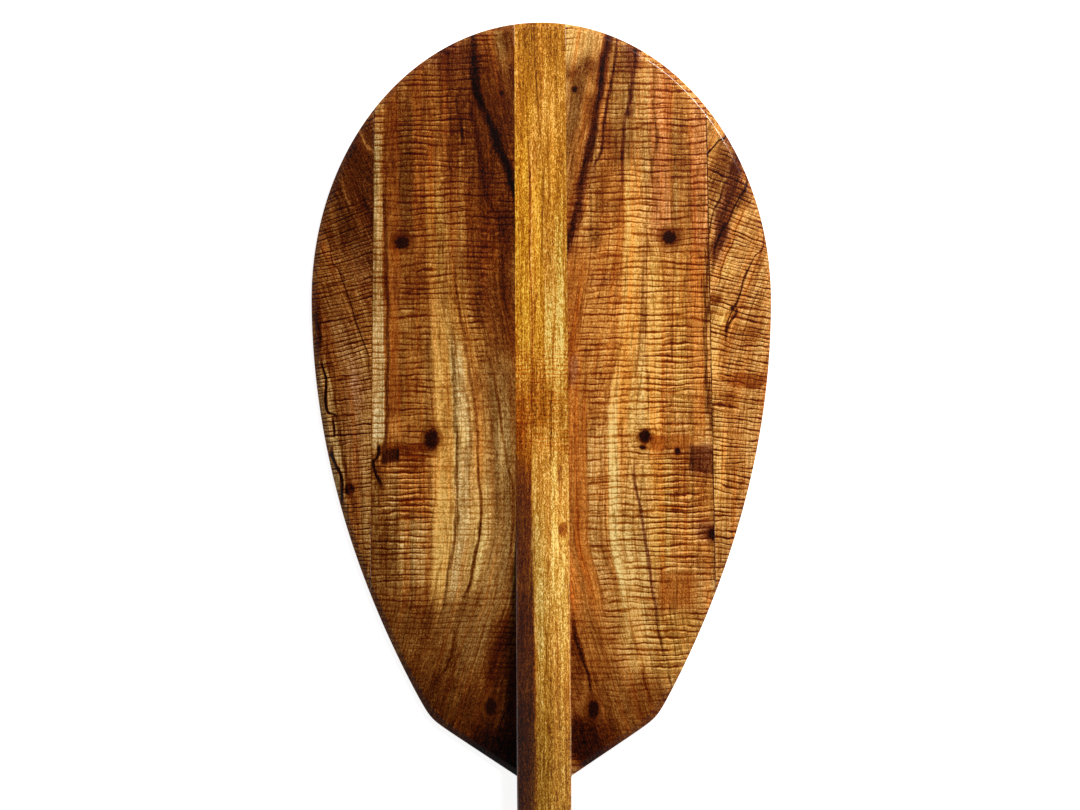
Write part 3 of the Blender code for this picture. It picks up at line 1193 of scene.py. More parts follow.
    def grain_lines(self, bench: Bench, level: Socket, place: Socket) -> Socket:
        """Columns, fine fibre lines, flecks, dark threads and pores along the grain.

        Args:
            bench: The material's nodes.
            level: Lightness of the wood.
            place: Place along the grain.

        Returns:
            The lightness with the lines.
        """
        for across, along, amount in self.grains:
            grain = bench.noise(place, (across, along, across * 3), 2.0, 0.6, 0.2)
            level = bench.lean(level, grain, amount)
        thread = bench.math("ABSOLUTE", bench.swing(place, self.THREAD, 1.0))
        line = bench.fade(thread, *self.THREAD_SPAN, 0.0, self.thread)
        level = bench.math("MULTIPLY_ADD", bench.math("MULTIPLY", level, line), -1.0, level)
        pore = bench.noise(place, self.PORE, 1.0, 0.4)
        open_pore = bench.fade(pore, *self.PORE_SPAN, 0.0, self.pore)
        return bench.math("SUBTRACT", level, open_pore)

    def curl_bands(self, bench: Bench, level: Socket, power: Socket, place: Place,
                   curl: Curl) -> tuple[Socket, Socket]:
        """Dark bands across the grain, and painted highlights beside them.

        Args:
            bench: The material's nodes.
            level: Lightness of the wood.
            power: Share of the curl's power.
            place: Place on the board, with the grain's wander.
            curl: The board's curl.

        Returns:
            The lightness with the bands and their painted highlights, and the bands' shade.
        """
        pitch, run = curl.pitch, curl.run
        lines = [(station, slope * curl.slope_scale) for station, slope in curl.slopes]
        slope = Flow().shifted(bench, bench.along, lines)
        tilted = bench.math("MULTIPLY", slope,
                            bench.math("DIVIDE", bench.across, curl.slope_scale))
        along = bench.math("SUBTRACT", bench.along, tilted)
        turned = bench.joined(bench.across, along, self.seed)
        # Waves that wander slowly and quickly, single here and double there
        slow = bench.noise(turned, (run, pitch * curl.slow_reach, 20), 1.0)
        across_reach, along_reach = curl.quick_reach
        quick = bench.noise(turned, (run * across_reach, pitch * along_reach, 6), 1.0)
        phase = bench.math("MULTIPLY_ADD", slow, curl.wave * 2,
                           bench.math("DIVIDE", along, pitch))
        phase = bench.math("MULTIPLY_ADD", quick, curl.wave * curl.quick_share, phase)
        angle = bench.math("MULTIPLY", phase, 2 * math.pi)
        pair = bench.noise(turned, curl.pair_pitch, 1.0)
        second = bench.fade(pair, *curl.pair_span, 0.0, -curl.pair_share)
        double = bench.math("COSINE", bench.math("MULTIPLY", angle, 2.0))
        wave = bench.math("MULTIPLY", bench.math("SINE", angle), curl.single_share)
        wave = bench.math("MULTIPLY_ADD", double, second, wave)
        # Uneven and broken bands
        across_reach, along_reach = curl.uneven_reach
        uneven = bench.swing(turned, (run * across_reach, pitch * along_reach, 16), 1.0)
        wave = bench.math("MULTIPLY_ADD", uneven, curl.uneven_share, wave)
        fine = bench.swing(turned, curl.fine_pitch, 1.0)
        wave = bench.math("MULTIPLY_ADD", fine, curl.fine_share, wave)
        fading = bench.noise(turned, curl.break_pitch, 2.0)
        fading = bench.fade(fading, *curl.break_span, curl.floor, 1.0)
        power = bench.math("MULTIPLY", power, fading)
        for patch in curl.calm:
            quiet = patch.mask(bench, place)
            power = bench.math("MULTIPLY", power, bench.math("SUBTRACT", 1.0, quiet))
        # Painted highlights beside the bands, as on ridges lit from one side
        beside = bench.math("SINE", bench.math("SUBTRACT", angle, curl.painted_glint_lag))
        beside = bench.math("MULTIPLY_ADD", fine, -curl.painted_glint_break, beside)
        painted_glint = bench.fade(beside, *curl.painted_glint_span, 0.0, curl.painted_glint)
        # Painted highlight, added to the lightness
        light = bench.math("MULTIPLY", painted_glint, power)
        for patch in curl.strong:
            boost = patch.mask(bench, place)
            power = bench.math("MULTIPLY_ADD", bench.math("MULTIPLY", boost, power),
                               curl.strong_shade, power)
            light = bench.math("MULTIPLY_ADD", bench.math("MULTIPLY", boost, light),
                               curl.strong_painted_glint, light)
        shade = bench.math("MULTIPLY", bench.fade(wave, *curl.shade_span), power)
        shade = bench.math("MINIMUM", shade, 1.0)
        change = bench.math("MULTIPLY_ADD", shade, -curl.depth * 2, light)
        return bench.math("MULTIPLY_ADD", change, level, level), shade

    def knot_marks(self, bench: Bench, level: Socket) -> Socket:
        """Knots with dark hearts and soft halos.

        Args:
            bench: The material's nodes.
            level: Lightness of the wood.

        Returns:
            The lightness with the knots.
        """
        if not self.knots:
            return level
        rough = bench.swing(bench.plan, self.KNOT_EDGE)
        speck = bench.noise(bench.plan, self.KNOT_SPECK, 1.0)
        darkest, lightest = self.SPECK_LEVELS
        for knot in self.knots:
            reach = (knot.radius, knot.radius * knot.stretch)
            distance = bench.oval((bench.across, bench.along), knot.centre, reach)
            distance = bench.math("ADD", rough, bench.math("SQRT", distance))
            halo = bench.fade(distance, knot.spread, self.HALO_INSIDE, 0.0, self.HALO_STRENGTH)
            level = bench.blend(halo, level, knot.halo)
            heart = bench.fade(distance, *self.HEART_SPAN, 0.0, self.HEART_STRENGTH)
            inner = bench.fade(speck, *self.SPECK_SPAN, knot.level + darkest,
                               knot.level + lightest)
            level = bench.blend(heart, level, inner)
        return level

    def glue_line(self, bench: Bench, level: Socket, grain: Socket, blade: BladeForm) -> Socket:
        """Thin dark line along the outer seam.

        Args:
            bench: The material's nodes.
            level: Lightness of the wood.
            grain: Number that varies quickly across the grain, about 0.
            blade: Form of the blade, for its seam.

        Returns:
            The lightness with the line.
        """
        middle = blade.outer_seam(0.0) * MM
        off = bench.math("MULTIPLY_ADD", bench.along, -blade.outer_seam_slope, bench.across)
        off = bench.math("ABSOLUTE", bench.math("SUBTRACT", off, middle))
        off = bench.math("MULTIPLY_ADD", grain, self.GLUE_OUT, off)
        line = bench.fade(off, *self.GLUE_SPAN, 0.0, self.seam_line)
        return bench.blend(line, level, self.GLUE_LEVEL)

    def coloured(self, bench: Bench, level: Socket) -> Socket:
        """Colour of the wood at each lightness.

        Args:
            bench: The material's nodes.
            level: Lightness of the wood.

        Returns:
            The colour, before its tints.
        """
        node = bench.node("ShaderNodeValToRGB", {0: level})
        ramp = node.color_ramp
        while len(ramp.elements) < len(self.tones):
            ramp.elements.new(0.5)
        for element, (place, tone) in zip(ramp.elements, self.tones):
            element.position = place
            element.color = linear(tone)
        return node.outputs[0]


INNER_LEFT_WOOD = Koa(
    name="koa_inner_left",
    base=0.62,
    seed=13,
    seam_line=0.5,
    flow=Flow(
        wide=((0, 0), (340, 0), (370, -5), (400, -13), (460, -32)),
        near=((0, 0), (150, 0), (200, 8), (250, 12), (300, 12), (350, 4), (400, 0), (460, 0)),
        wedge=((0, 40), (30, 36), (64, 29.5), (97, 19), (140, 12), (150, -5), (460, -5)),
    ),
    curl=Curl(
        calm=(
            Patch((22, 40), (18, 75), strength=0.97, turn=-14, core=0.5),
            Patch((18, 178), (22, 56), strength=0.9, core=0.5),
            Patch((60, 410), (60, 50), strength=0.7, core=0.3),
        ),
        strong=(
            Patch((82, 292), (22, 44), strength=0.9, core=0.3),
            Patch((60, 70), (30, 50), strength=0.4),
        ),
    ),
    bands=(
        # Dark upper wood, lighter towards the middle of the board
        Band((28, 58), (16, 104), 0.39),
        Band((58, 80), (20, 100), 0.53, Tint.ORANGE),
        Band((58, 71), (100, 168), 0.72, Tint.AMBER),
        Band((44, 58), (98, 160), 0.65, soft=2.5),
        Band((14, 45), (96, 152), 0.4, Tint.ORANGE, soft=4),
        Band((14, 43), (152, 208), 0.42, soft=4),
        # Strips beside the outer seam
        Band((70, 78), (98, 152), 0.56, Tint.ORANGE, soft=1),
        Band((78, 86), (44, 134), 0.4, Tint.OLIVE, soft=1),
        Band((70, 78), (152, 254), 0.67, Tint.GOLD, soft=1),
        Band((78, 86), (134, 254), 0.62, Tint.GOLD, soft=1),
        Band((86, 95), (40, 134), 0.43, Tint.ORANGE, curl=0.4, soft=0.8, ends=20),
        Band((86, 95), (134, 254), 0.62, Tint.RED, curl=0.25, soft=0.8, ends=6, strength=0.75),
        Band((96, 112), (66, 178), 0.72, Tint.PALE, curl=0.7, soft=0.6, ends=8, strength=0.95),
        Band((95.3, 112), (176, 262), 0.86, Tint.PALE, curl=0.6, soft=0.6, ends=10, strength=0.95),
        # Plain gold column and the straw one beside it
        Band((56.5, 68), (170, 354), 0.9, Tint.AMBER, curl=0.25, soft=2.6, ends=20),
        Band((47, 57), (150, 210), 0.7, Tint.AMBER, curl=0.4, soft=1),
        Band((52.5, 58.5), (196, 366), 0.88, Tint.STRAW, curl=0.25, soft=1.6),
        Band((44.5, 52.5), (200, 352), 0.87, Tint.GOLD, curl=0.2, soft=1.2),
        Band((14, 44), (206, 352), 0.6, Tint.STRAW, curl=0.12, soft=2),
        # Washboard and the grey block outside it
        Band((69, 102), (264, 300), 0.65, Tint.ORANGE, soft=2, ends=4),
        Band((70, 102), (302, 344), 0.73, Tint.OLIVE, soft=2, ends=6),
        Band((87, 112), (274, 346), 0.56, Tint.OLIVE, soft=2, ends=5),
        # Redder and darker towards the bottom of the board
        Band((54, 110), (352, 386), 0.5, Tint.OLIVE, soft=5, curl=0.5),
        Band((24, 52), (354, 396), 0.56, Tint.STRAW, curl=0.3, soft=7),
        Band((44, 110), (386, 470), 0.37, Tint.OLIVE, soft=8, curl=0.25),
        Band((0, 64), (403, 470), 0.3, Tint.OLIVE, curl=0.2, soft=8),
        # Bar and block between the knot and the seam
        Band((70, 97), (255.5, 261.5), 0.4, Tint.RED, curl=0.3, soft=1.5, ends=1),
        Band((86.5, 97), (260, 267.5), 0.16, Tint.VIOLET, curl=0, soft=0.8, ends=1.6,
             strength=0.95),
    ),
    patches=(
        Patch((22, 60), (14, 80), 0.3, 0.8, turn=-12),
        Patch((20, 12), (12, 16), 0.4, 0.85, Tint.STRAW),
        Patch((52, 22), (26, 17), 0.32, 0.7, Tint.VIOLET),
        Patch((75, 84), (6, 20), 0.42, 0.5),
        Patch((57, 102), (7, 22), 0.46, 0.6, Tint.ORANGE),
        Patch((54, 131), (17, 13), 0.78, 0.45, Tint.AMBER),
        Patch((84, 158), (8, 22), 0.48, 0.5),
        Patch((18, 226), (6, 34), 0.48, 0.5),
        Patch((39, 222), (9, 28), 0.56, 0.75),
        Patch((88, 246), (10, 11), 0.9, 0.85, Tint.ORANGE),
        Patch((84, 131), (9, 9), 0.22, 0.6),
        Patch((76, 156), (13, 22), 0.42, 0.75, Tint.ORANGE),
        Patch((70, 174), (7, 24), 0.56, 0.6, Tint.ORANGE),
        Patch((37, 190), (9, 15), 0.62, 0.6, Tint.AMBER),
        Patch((27, 236), (6, 26), 0.64, 0.6, Tint.STRAW, turn=8),
        Patch((38, 314), (15, 48), 0.96, 0.8, Tint.YELLOW),
        Patch((60, 296), (12, 40), 1, 0.45, Tint.AMBER),
        Patch((20, 122), (12, 32), 0.27, 0.8),
        Patch((24, 446), (40, 32), 0.1, 0.95, core=0.3),
        Patch((24, 397), (15, 46), 0.29, 0.92, core=0.5),
        Patch((16, 31), (9, 13), 0.24, 0.75),
        Patch((73, 50), (7, 15), 0.62, 0.6, Tint.ORANGE),
        Patch((48, 82), (7, 26), 0.5, 0.6),
        Patch((24, 160), (9, 28), 0.31, 0.8),
        Patch((25, 256), (6, 36), 0.8, 0.8, Tint.STRAW),
        Patch((48.5, 250), (5, 16), 1, 0.85, Tint.YELLOW),
        Patch((79, 270), (11, 9), 0.44, 0.8, Tint.ORANGE),
        Patch((88, 290), (8, 11), 0.54, 0.6),
        Patch((64, 340), (8, 26), 0.92, 0.6, Tint.AMBER),
        Patch((57, 408), (11, 14), 0.5, 0.6, Tint.OLIVE),
    ),
    streaks=(
        Streak(((100, 95), (150, 94), (200, 93.4), (240, 93.4), (262, 95.5)), 1.6, 0.28, 0.7,
               tint=Tint.OLIVE),
        Streak(((258, 98), (266, 102), (272, 101), (286, 99)), 4, 0.36, 0.7, (4, 6),
               ragged=3, core=0.1, tint=Tint.OLIVE),
        Streak(((256, 99), (262, 99), (267, 102.5), (272, 101.5), (282, 98.5)), 1.6, 0.06, 0.9,
               (4, 6), ragged=2),
        Streak(((-10, 41), (20, 39.5), (42, 37.5)), 3, 0.26, 0.55, ragged=3, core=0),
        Streak(((16, 41), (34, 39), (50, 35.5), (60, 31.5), (70, 27.5), (80, 24), (90, 20), (100, 16.5),
                (112, 13)), 4.6, 0.06, 0.95, (30, 10), ragged=1.6, core=0),
        Streak(((46, 42), (75, 38), (95, 35), (112, 30), (128, 23)), 2.8, 0.22, 0.75,
               ragged=3, core=0, tint=Tint.RED),
        Streak(((44, 50.5), (60, 48.5), (74, 47)), 1.5, 0.18, 0.8, (10, 5)),
        Streak(((150, 52), (190, 47), (230, 41.5), (260, 39.3), (300, 38)), 1.4, 0.44, 0.65),
        Streak(((160, 39), (200, 32), (230, 27), (260, 23), (290, 19), (345, 19)), 1.3, 0.42, 0.6),
        Streak(((190, 53.5), (240, 52), (280, 51.3), (300, 51.5), (325, 55), (340, 58),
                (362, 60)), 1.5, 0.44, 0.7, ragged=3, tint=Tint.STRAW),
        Streak(((296, 38.5), (310, 38.5), (325, 41), (340, 44), (350, 48), (365, 52), (385, 56),
                (408, 65)), 1.6, 0.28, 0.75, ragged=2),
        Streak(((346, 47), (372, 53.5)), 3, 0.5, 0.5, tint=Tint.OLIVE),
    ),
    knots=(
        Knot((84.5, 134), 4.3, stretch=0.85, spread=2.6), Knot((67.1, 253.5), 4, stretch=1.5),
        Knot((23.5, 43.5), 1.4), Knot((32, 416), 3.4, stretch=1.5),
    ),
)

INNER_RIGHT_WOOD = Koa(
    name="koa_inner_right",
    base=0.78,
    seed=61,
    seam_line=0.8,
    flow=Flow(
        wide=((0, 0), (350, 0), (380, -3), (400, -7), (430, -16), (460, -26)),
        near=((0, 0), (120, 0), (150, 2.5), (180, 6.5), (215, 11), (240, 13), (310, 13),
              (345, 6.4), (370, 3), (400, 0), (460, 0)),
        wedge=((0, 42), (35, 37.3), (102, 29), (130, 21), (150, 14), (160, -5), (460, -5)),
    ),
    curl=Curl(
        calm=(
            Patch((22, 50), (20, 90), strength=0.97, turn=14, core=0.5),
            Patch((24, 425), (50, 30), strength=0.7),
        ),
        strong=(
            Patch((84, 300), (24, 60), strength=0.9, core=0.3),
            Patch((80, 212), (22, 44), strength=0.75, core=0.2),
            Patch((78, 382), (24, 30), strength=0.7),
        ),
    ),
    bands=(
        # Reddish upper wood in columns
        Band((26, 34), (0, 80), 0.47, Tint.STRAW, soft=2.5),
        Band((42, 58), (4, 84), 0.59, Tint.OLIVE, curl=0.7),
        Band((58, 66), (34, 104), 0.69, Tint.OLIVE),
        Band((66, 79), (30, 134), 0.74, Tint.ROSE, soft=1.6),
        Band((79, 84), (56, 128), 0.66, Tint.OLIVE, soft=1.6),
        Band((84, 92), (50, 138), 0.68, soft=1.6),
        Band((92, 104), (44, 142), 0.76, Tint.ROSE, soft=1.4),
        Band((32, 52), (90, 128), 0.58, Tint.ORANGE, curl=0.8, soft=2.5),
        Band((32, 51), (128, 176), 0.76, Tint.ORANGE, curl=0.8, soft=2.5),
        # Yellow column that runs down the board, and its neighbours
        Band((51, 62), (88, 252), 0.92, Tint.AMBER, curl=0.8, soft=1.6),
        Band((60, 67), (104, 168), 0.84, soft=1, strength=0.7),
        Band((58, 65.5), (196, 254), 0.88, Tint.YELLOW, curl=0.6, soft=1.2),
        Band((65, 72.5), (138, 256), 0.94, Tint.AMBER, soft=1.4),
        Band((72.5, 80), (138, 252), 0.74, Tint.ORANGE, soft=1.4),
        Band((80, 88), (142, 232), 0.77, Tint.AMBER, soft=1.2),
        Band((88, 93), (142, 258), 0.68, Tint.ORANGE, soft=1),
        Band((92, 99), (142, 252), 0.75, Tint.RED, soft=0.8, strength=0.8),
        Band((14, 32), (138, 236), 0.7, Tint.RED, curl=0.2, soft=2),
        Band((32, 51), (172, 244), 0.76, Tint.ORANGE, curl=0.9, soft=2),
        Band((14, 41.5), (230, 362), 0.73, Tint.RED, curl=0.08, soft=1.6),
        Band((41.5, 50.5), (246, 356), 0.84, curl=0.85, soft=1.4),
        Band((50.5, 55), (214, 384), 1, Tint.YELLOW, curl=0.55, soft=1, strength=0.95),
        Band((55, 62), (252, 372), 0.87, Tint.GOLD, curl=0.85, soft=1.4),
        Band((62, 70), (256, 350), 0.87, Tint.GOLD, curl=0.95, soft=1.2),
        Band((46, 70), (352, 398), 0.86, Tint.GOLD, soft=3),
        # Washboard and the plain amber wood below it
        Band((78, 106), (262, 300), 0.64, Tint.ORANGE, soft=2, ends=4),
        Band((78, 104), (302, 332), 0.74, Tint.ORANGE, soft=2, ends=4),
        Band((67, 78), (264, 332), 0.82, Tint.AMBER, soft=1.5, ends=5),
        Band((71, 92), (335, 358), 0.64, Tint.RED, curl=0.25, soft=4, ends=5),
        Band((70, 110), (359, 402), 0.74, Tint.AMBER, soft=2.5, ends=3),
        Band((8, 40), (362, 406), 0.62, Tint.ORANGE, curl=0.3, soft=6),
        # Darker towards the bottom of the board
        Band((0, 70), (402, 430), 0.48, curl=0.4, soft=6),
        Band((0, 60), (430, 470), 0.27, curl=0.3, soft=6),
        # Bar and block between the knot and the seam
        Band((64, 92), (251.5, 261), 0.68, Tint.RED, curl=0.08, soft=1.5, ends=1.2),
        Band((89.5, 106), (258.5, 275), 0.34, Tint.VIOLET, curl=0.5, soft=1, ends=2.6,
             strength=0.92),
    ),
    patches=(
        Patch((21, 10), (17, 20), 0.9, 0.9, Tint.GOLD, core=0.3),
        Patch((20, 32), (9, 8), 0.45, 0.8),
        Patch((29, 53), (7, 20), 0.4, 0.7),
        Patch((31, 29), (7, 12), 0.34, 0.7),
        Patch((49, 30), (7, 12), 0.46, 0.6),
        Patch((56, 331), (15, 13), 1, 0.6, Tint.GOLD),
        Patch((33, 131), (9, 12), 0.44, 0.8),
        Patch((97, 110), (6, 12), 0.58, 0.7),
        Patch((42, 84), (8, 28), 0.48, 0.75, Tint.ORANGE, turn=10),
        Patch((58, 106), (6, 30), 0.78, 0.6),
        Patch((53, 218), (9, 36), 0.78, 0.5, Tint.AMBER),
        Patch((78, 130), (10, 10), 0.52, 0.6),
        Patch((22, 76), (10, 40), 0.6, 0.8, Tint.ORANGE, turn=14),
        Patch((56, 22), (7, 14), 0.42, 0.75, Tint.VIOLET, core=0.3),
        Patch((53.5, 56), (4.5, 5), 0.28, 0.8, Tint.VIOLET, core=0.2),
        Patch((40, 112), (10, 7), 0.46, 0.6, core=0.2),
        Patch((37, 157), (12, 6), 0.6, 0.6, Tint.ROSE, core=0.2),
        Patch((19, 212), (5, 14), 0.62, 0.6, Tint.VIOLET, core=0.3),
        Patch((19, 390), (7, 26), 0.42, 0.9, core=0.4),
        Patch((24, 436), (20, 22), 0.12, 0.9, core=0.3),
        Patch((100, 310), (9, 9), 0.34, 0.8, Tint.VIOLET),
        Patch((40, 70), (7, 15), 0.32, 0.7, Tint.ORANGE),
        Patch((25, 110), (7, 12), 0.78, 0.7, Tint.ORANGE),
        Patch((103, 130), (5, 13), 0.9, 0.7, Tint.ROSE),
        Patch((43, 170), (9, 20), 0.86, 0.6, Tint.ORANGE),
        Patch((71.5, 168), (6, 44), 0.8, 0.7, Tint.AMBER),
        Patch((84, 230), (9, 12), 0.64, 0.7, Tint.AMBER),
        Patch((67, 243), (6, 8), 1, 0.8, Tint.AMBER),
        Patch((64, 290), (6, 13), 0.76, 0.7),
        Patch((49, 312), (7, 13), 1, 0.75, Tint.YELLOW),
        Patch((96, 330), (8, 11), 0.58, 0.7),
        Patch((72, 390), (8, 13), 0.58, 0.75, Tint.AMBER),
        Patch((40, 430), (10, 12), 0.3, 0.75),
    ),
    streaks=(
        Streak(((-10, 42.5), (25, 38.5), (40, 36.5), (60, 33), (85, 28), (100, 25), (120, 20.5),
                (140, 15.5), (152, 13)), 4.4, 0.14, 0.92, core=0.05, ragged=1.6,
               tint=Tint.VIOLET),
        Streak(((5, 47), (40, 43), (60, 39.5), (80, 36), (92, 32)), 1.8, 0.24, 0.8, core=0,
               tint=Tint.VIOLET),
        Streak(((10, 58), (45, 54.5), (57, 52), (70, 50.5), (98, 49)), 1.8, 0.28, 0.85,
               ragged=2.5, core=0, tint=Tint.VIOLET),
        Streak(((26, 70), (45, 68.5), (70, 70), (96, 66.5)), 2.2, 0.44, 0.7, ragged=3.5, core=0,
               tint=Tint.OLIVE),
        Streak(((30, 34), (60, 27), (96, 18)), 1.6, 0.44, 0.6, core=0),
        Streak(((140, 80), (200, 79), (250, 80)), 0.8, 0.46, 0.5),
        Streak(((110, 65), (180, 63.5), (245, 64)), 1, 0.52, 0.55, ragged=3, core=0),
        Streak(((130, 101.5), (180, 100), (220, 99.5), (256, 103)), 2.4, 0.24, 0.7, ragged=5,
               core=0, tint=Tint.OLIVE),
        Streak(((274, 55.5), (300, 60), (320, 63), (345, 66), (358, 68.5)), 1.5, 0.4, 0.7,
               tint=Tint.VIOLET),
        Streak(((362, 69), (380, 73), (395, 77)), 1.3, 0.34, 0.6),
        Streak(((366, 18), (385, 22.5), (406, 28.5)), 1.8, 0.2, 0.85),
        Streak(((396, 61), (418, 66)), 1.4, 0.3, 0.7),
    ),
    knots=(
        Knot((78.2, 131.8), 4.1, stretch=0.95, spread=2.6), Knot((62.4, 252.5), 3.3, spread=1.75),
        Knot((61, 259), 1.7, stretch=0.7), Knot((21, 41.5), 1.5), Knot((82, 261.5), 1.6),
        Knot((104, 312), 3.2), Knot((30, 418), 3, stretch=1.9),
    ),
)

WING_SLOPES = ((0, 0.5), (90, 0.46), (130, 0.4), (170, 0.27), (210, 0.22), (250, 0.12), (300, 0.05),
               (460, 0))
WING_FLOW = Flow(wide=((0, -30), (60, -5), (90, 8), (120, 20), (150, 32), (200, 49), (240, 56),
                       (280, 58), (340, 59), (460, 59)))

OUTER_LEFT_WOOD = Koa(
    name="koa_outer_left",
    base=0.54,
    seed=29,
    flow=WING_FLOW,
    curl=Curl(
        pitch=3, slopes=WING_SLOPES, depth=0.34, painted_glint=0.2, wave=1.1,
        calm=(Patch((112, 85), (24, 34), strength=0.9, core=0.4),),
    ),
    patches=(
        Patch((110, 100), (26, 64), 0.34, 0.92, Tint.DUSK, core=0.5),
        Patch((112, 150), (24, 26), 0.48, 0.8, Tint.DUSK),
        Patch((124, 130), (9, 12), 0.22, 0.8, Tint.DUSK, turn=20),
        Patch((102, 142), (5, 24), 0.38, 0.7, Tint.DUSK),
        Patch((122, 192), (22, 34), 0.67, 0.8, Tint.DUSK),
        Patch((112, 245), (15, 90), 0.66, 0.9, Tint.DUSK),
        Patch((108, 198), (11, 26), 0.8, 0.65, Tint.OLIVE),
        Patch((107, 305), (8, 60), 0.68, 0.8, Tint.STRAW),
        Patch((105, 248), (6, 60), 0.78, 0.7, Tint.OLIVE),
        Patch((113, 220), (8, 26), 0.64, 0.5, Tint.VIOLET),
        Patch((128.5, 245), (8, 66), 0.74, 0.95, Tint.STRAW, turn=9, core=0.4),
        Patch((136, 185), (4, 30), 0.2, 0.8, turn=2, core=0.2),
        Patch((116.5, 283), (4.2, 4.8), 0.06, 0.95, core=0.5),
    ),
    streaks=(
        Streak(((62, 111.5), (70, 108), (86, 100.5)), 1.6, 0.66, 0.8, core=0),
        Streak(((92, 121), (120, 110), (144, 101)), 1, 0.55, 0.8, ragged=0.5, core=0),
        Streak(((104, 120), (130, 110), (152, 102)), 0.8, 0.5, 0.7, ragged=0.5, core=0),
        Streak(((118, 127), (140, 122), (165, 113), (190, 106)), 4, 0.62, 0.6, core=0,
               tint=Tint.OLIVE),
        Streak(((136, 128.5), (160, 119), (180, 113), (206, 105)), 0.7, 0.2, 0.8, ragged=0.5),
        Streak(((205, 134), (218, 131.5), (228, 132), (236, 130.5), (241, 126)), 1.3, 0.05, 0.95,
               (5, 3)),
        Streak(((241, 128), (252, 127)), 1.2, 0.08, 0.8, (3, 3)),
        Streak(((260, 128.5), (268, 126), (276, 122.5), (290, 121)), 1.4, 0.05, 0.95, (5, 3)),
        Streak(((190, 131), (220, 127), (260, 122), (300, 114)), 2.2, 0.26, 0.6, ragged=3),
    ),
)

OUTER_RIGHT_WOOD = Koa(
    name="koa_outer_right",
    base=0.78,
    seed=47,
    flow=WING_FLOW,
    curl=Curl(
        pitch=3.3, slopes=WING_SLOPES, depth=0.31, painted_glint=0.22, wave=1.4,
        calm=(Patch((106, 72), (10, 18), strength=0.8, core=0.4),),
    ),
    patches=(
        Patch((110, 90), (10, 28), 0.37, 0.85, turn=16),
        Patch((114, 72), (5, 8), 0.5, 0.7, Tint.VIOLET, turn=30),
        Patch((123, 108), (9, 15), 0.38, 0.8, Tint.OLIVE, turn=20),
        Patch((106.5, 170), (7, 5.5), 0.4, 0.85, Tint.RED, core=0.2),
        Patch((123, 218.5), (18, 6), 0.56, 0.9, Tint.RED, turn=4, core=0.6),
        Patch((112, 182), (12, 14), 0.94, 0.65, Tint.AMBER),
        Patch((126, 190), (14, 10), 0.52, 0.8, Tint.ORANGE),
        Patch((116, 230), (11, 9), 0.64, 0.6, Tint.ORANGE),
        Patch((105, 205), (9, 36), 1, 0.75, Tint.AMBER),
        Patch((113, 150), (11, 14), 0.92, 0.6, Tint.AMBER, turn=16),
        Patch((112, 179), (7, 22), 1, 0.6, Tint.AMBER),
        Patch((113, 231), (9, 12), 0.54, 0.8, Tint.ORANGE),
        Patch((108, 270), (8, 60), 0.96, 0.65, Tint.AMBER),
    ),
    streaks=(
        Streak(((70, 123), (80, 121), (90, 118.5), (100, 116.5), (110, 113.5), (120, 110.5),
                (130, 110), (142, 106)), 7.2, 0.24, 0.88,
               core=0.1, ragged=2.2, tint=Tint.VIOLET),
        Streak(((94, 125.5), (116, 117), (146, 105)), 1.4, 0.14, 0.85, ragged=0.8, core=0),
        Streak(((84, 117), (105, 110), (134, 101.5)), 1.2, 0.2, 0.8, ragged=0.8, core=0),
        Streak(((66, 113.5), (84, 101)), 0.9, 0.05, 0.95, (2, 3), ragged=0.4),
        Streak(((130, 136), (150, 126.5), (170, 119.5), (190, 112.5)), 0.8, 0.26, 0.85,
               ragged=0.6),
        Streak(((96, 130), (130, 118), (160, 108)), 0.7, 0.4, 0.6, ragged=0.6),
        Streak(((174, 119), (190, 113)), 1.2, 0.24, 0.8, (3, 4), ragged=0.6),
    ),
    knots=(Knot((116, 175), 1),),
)

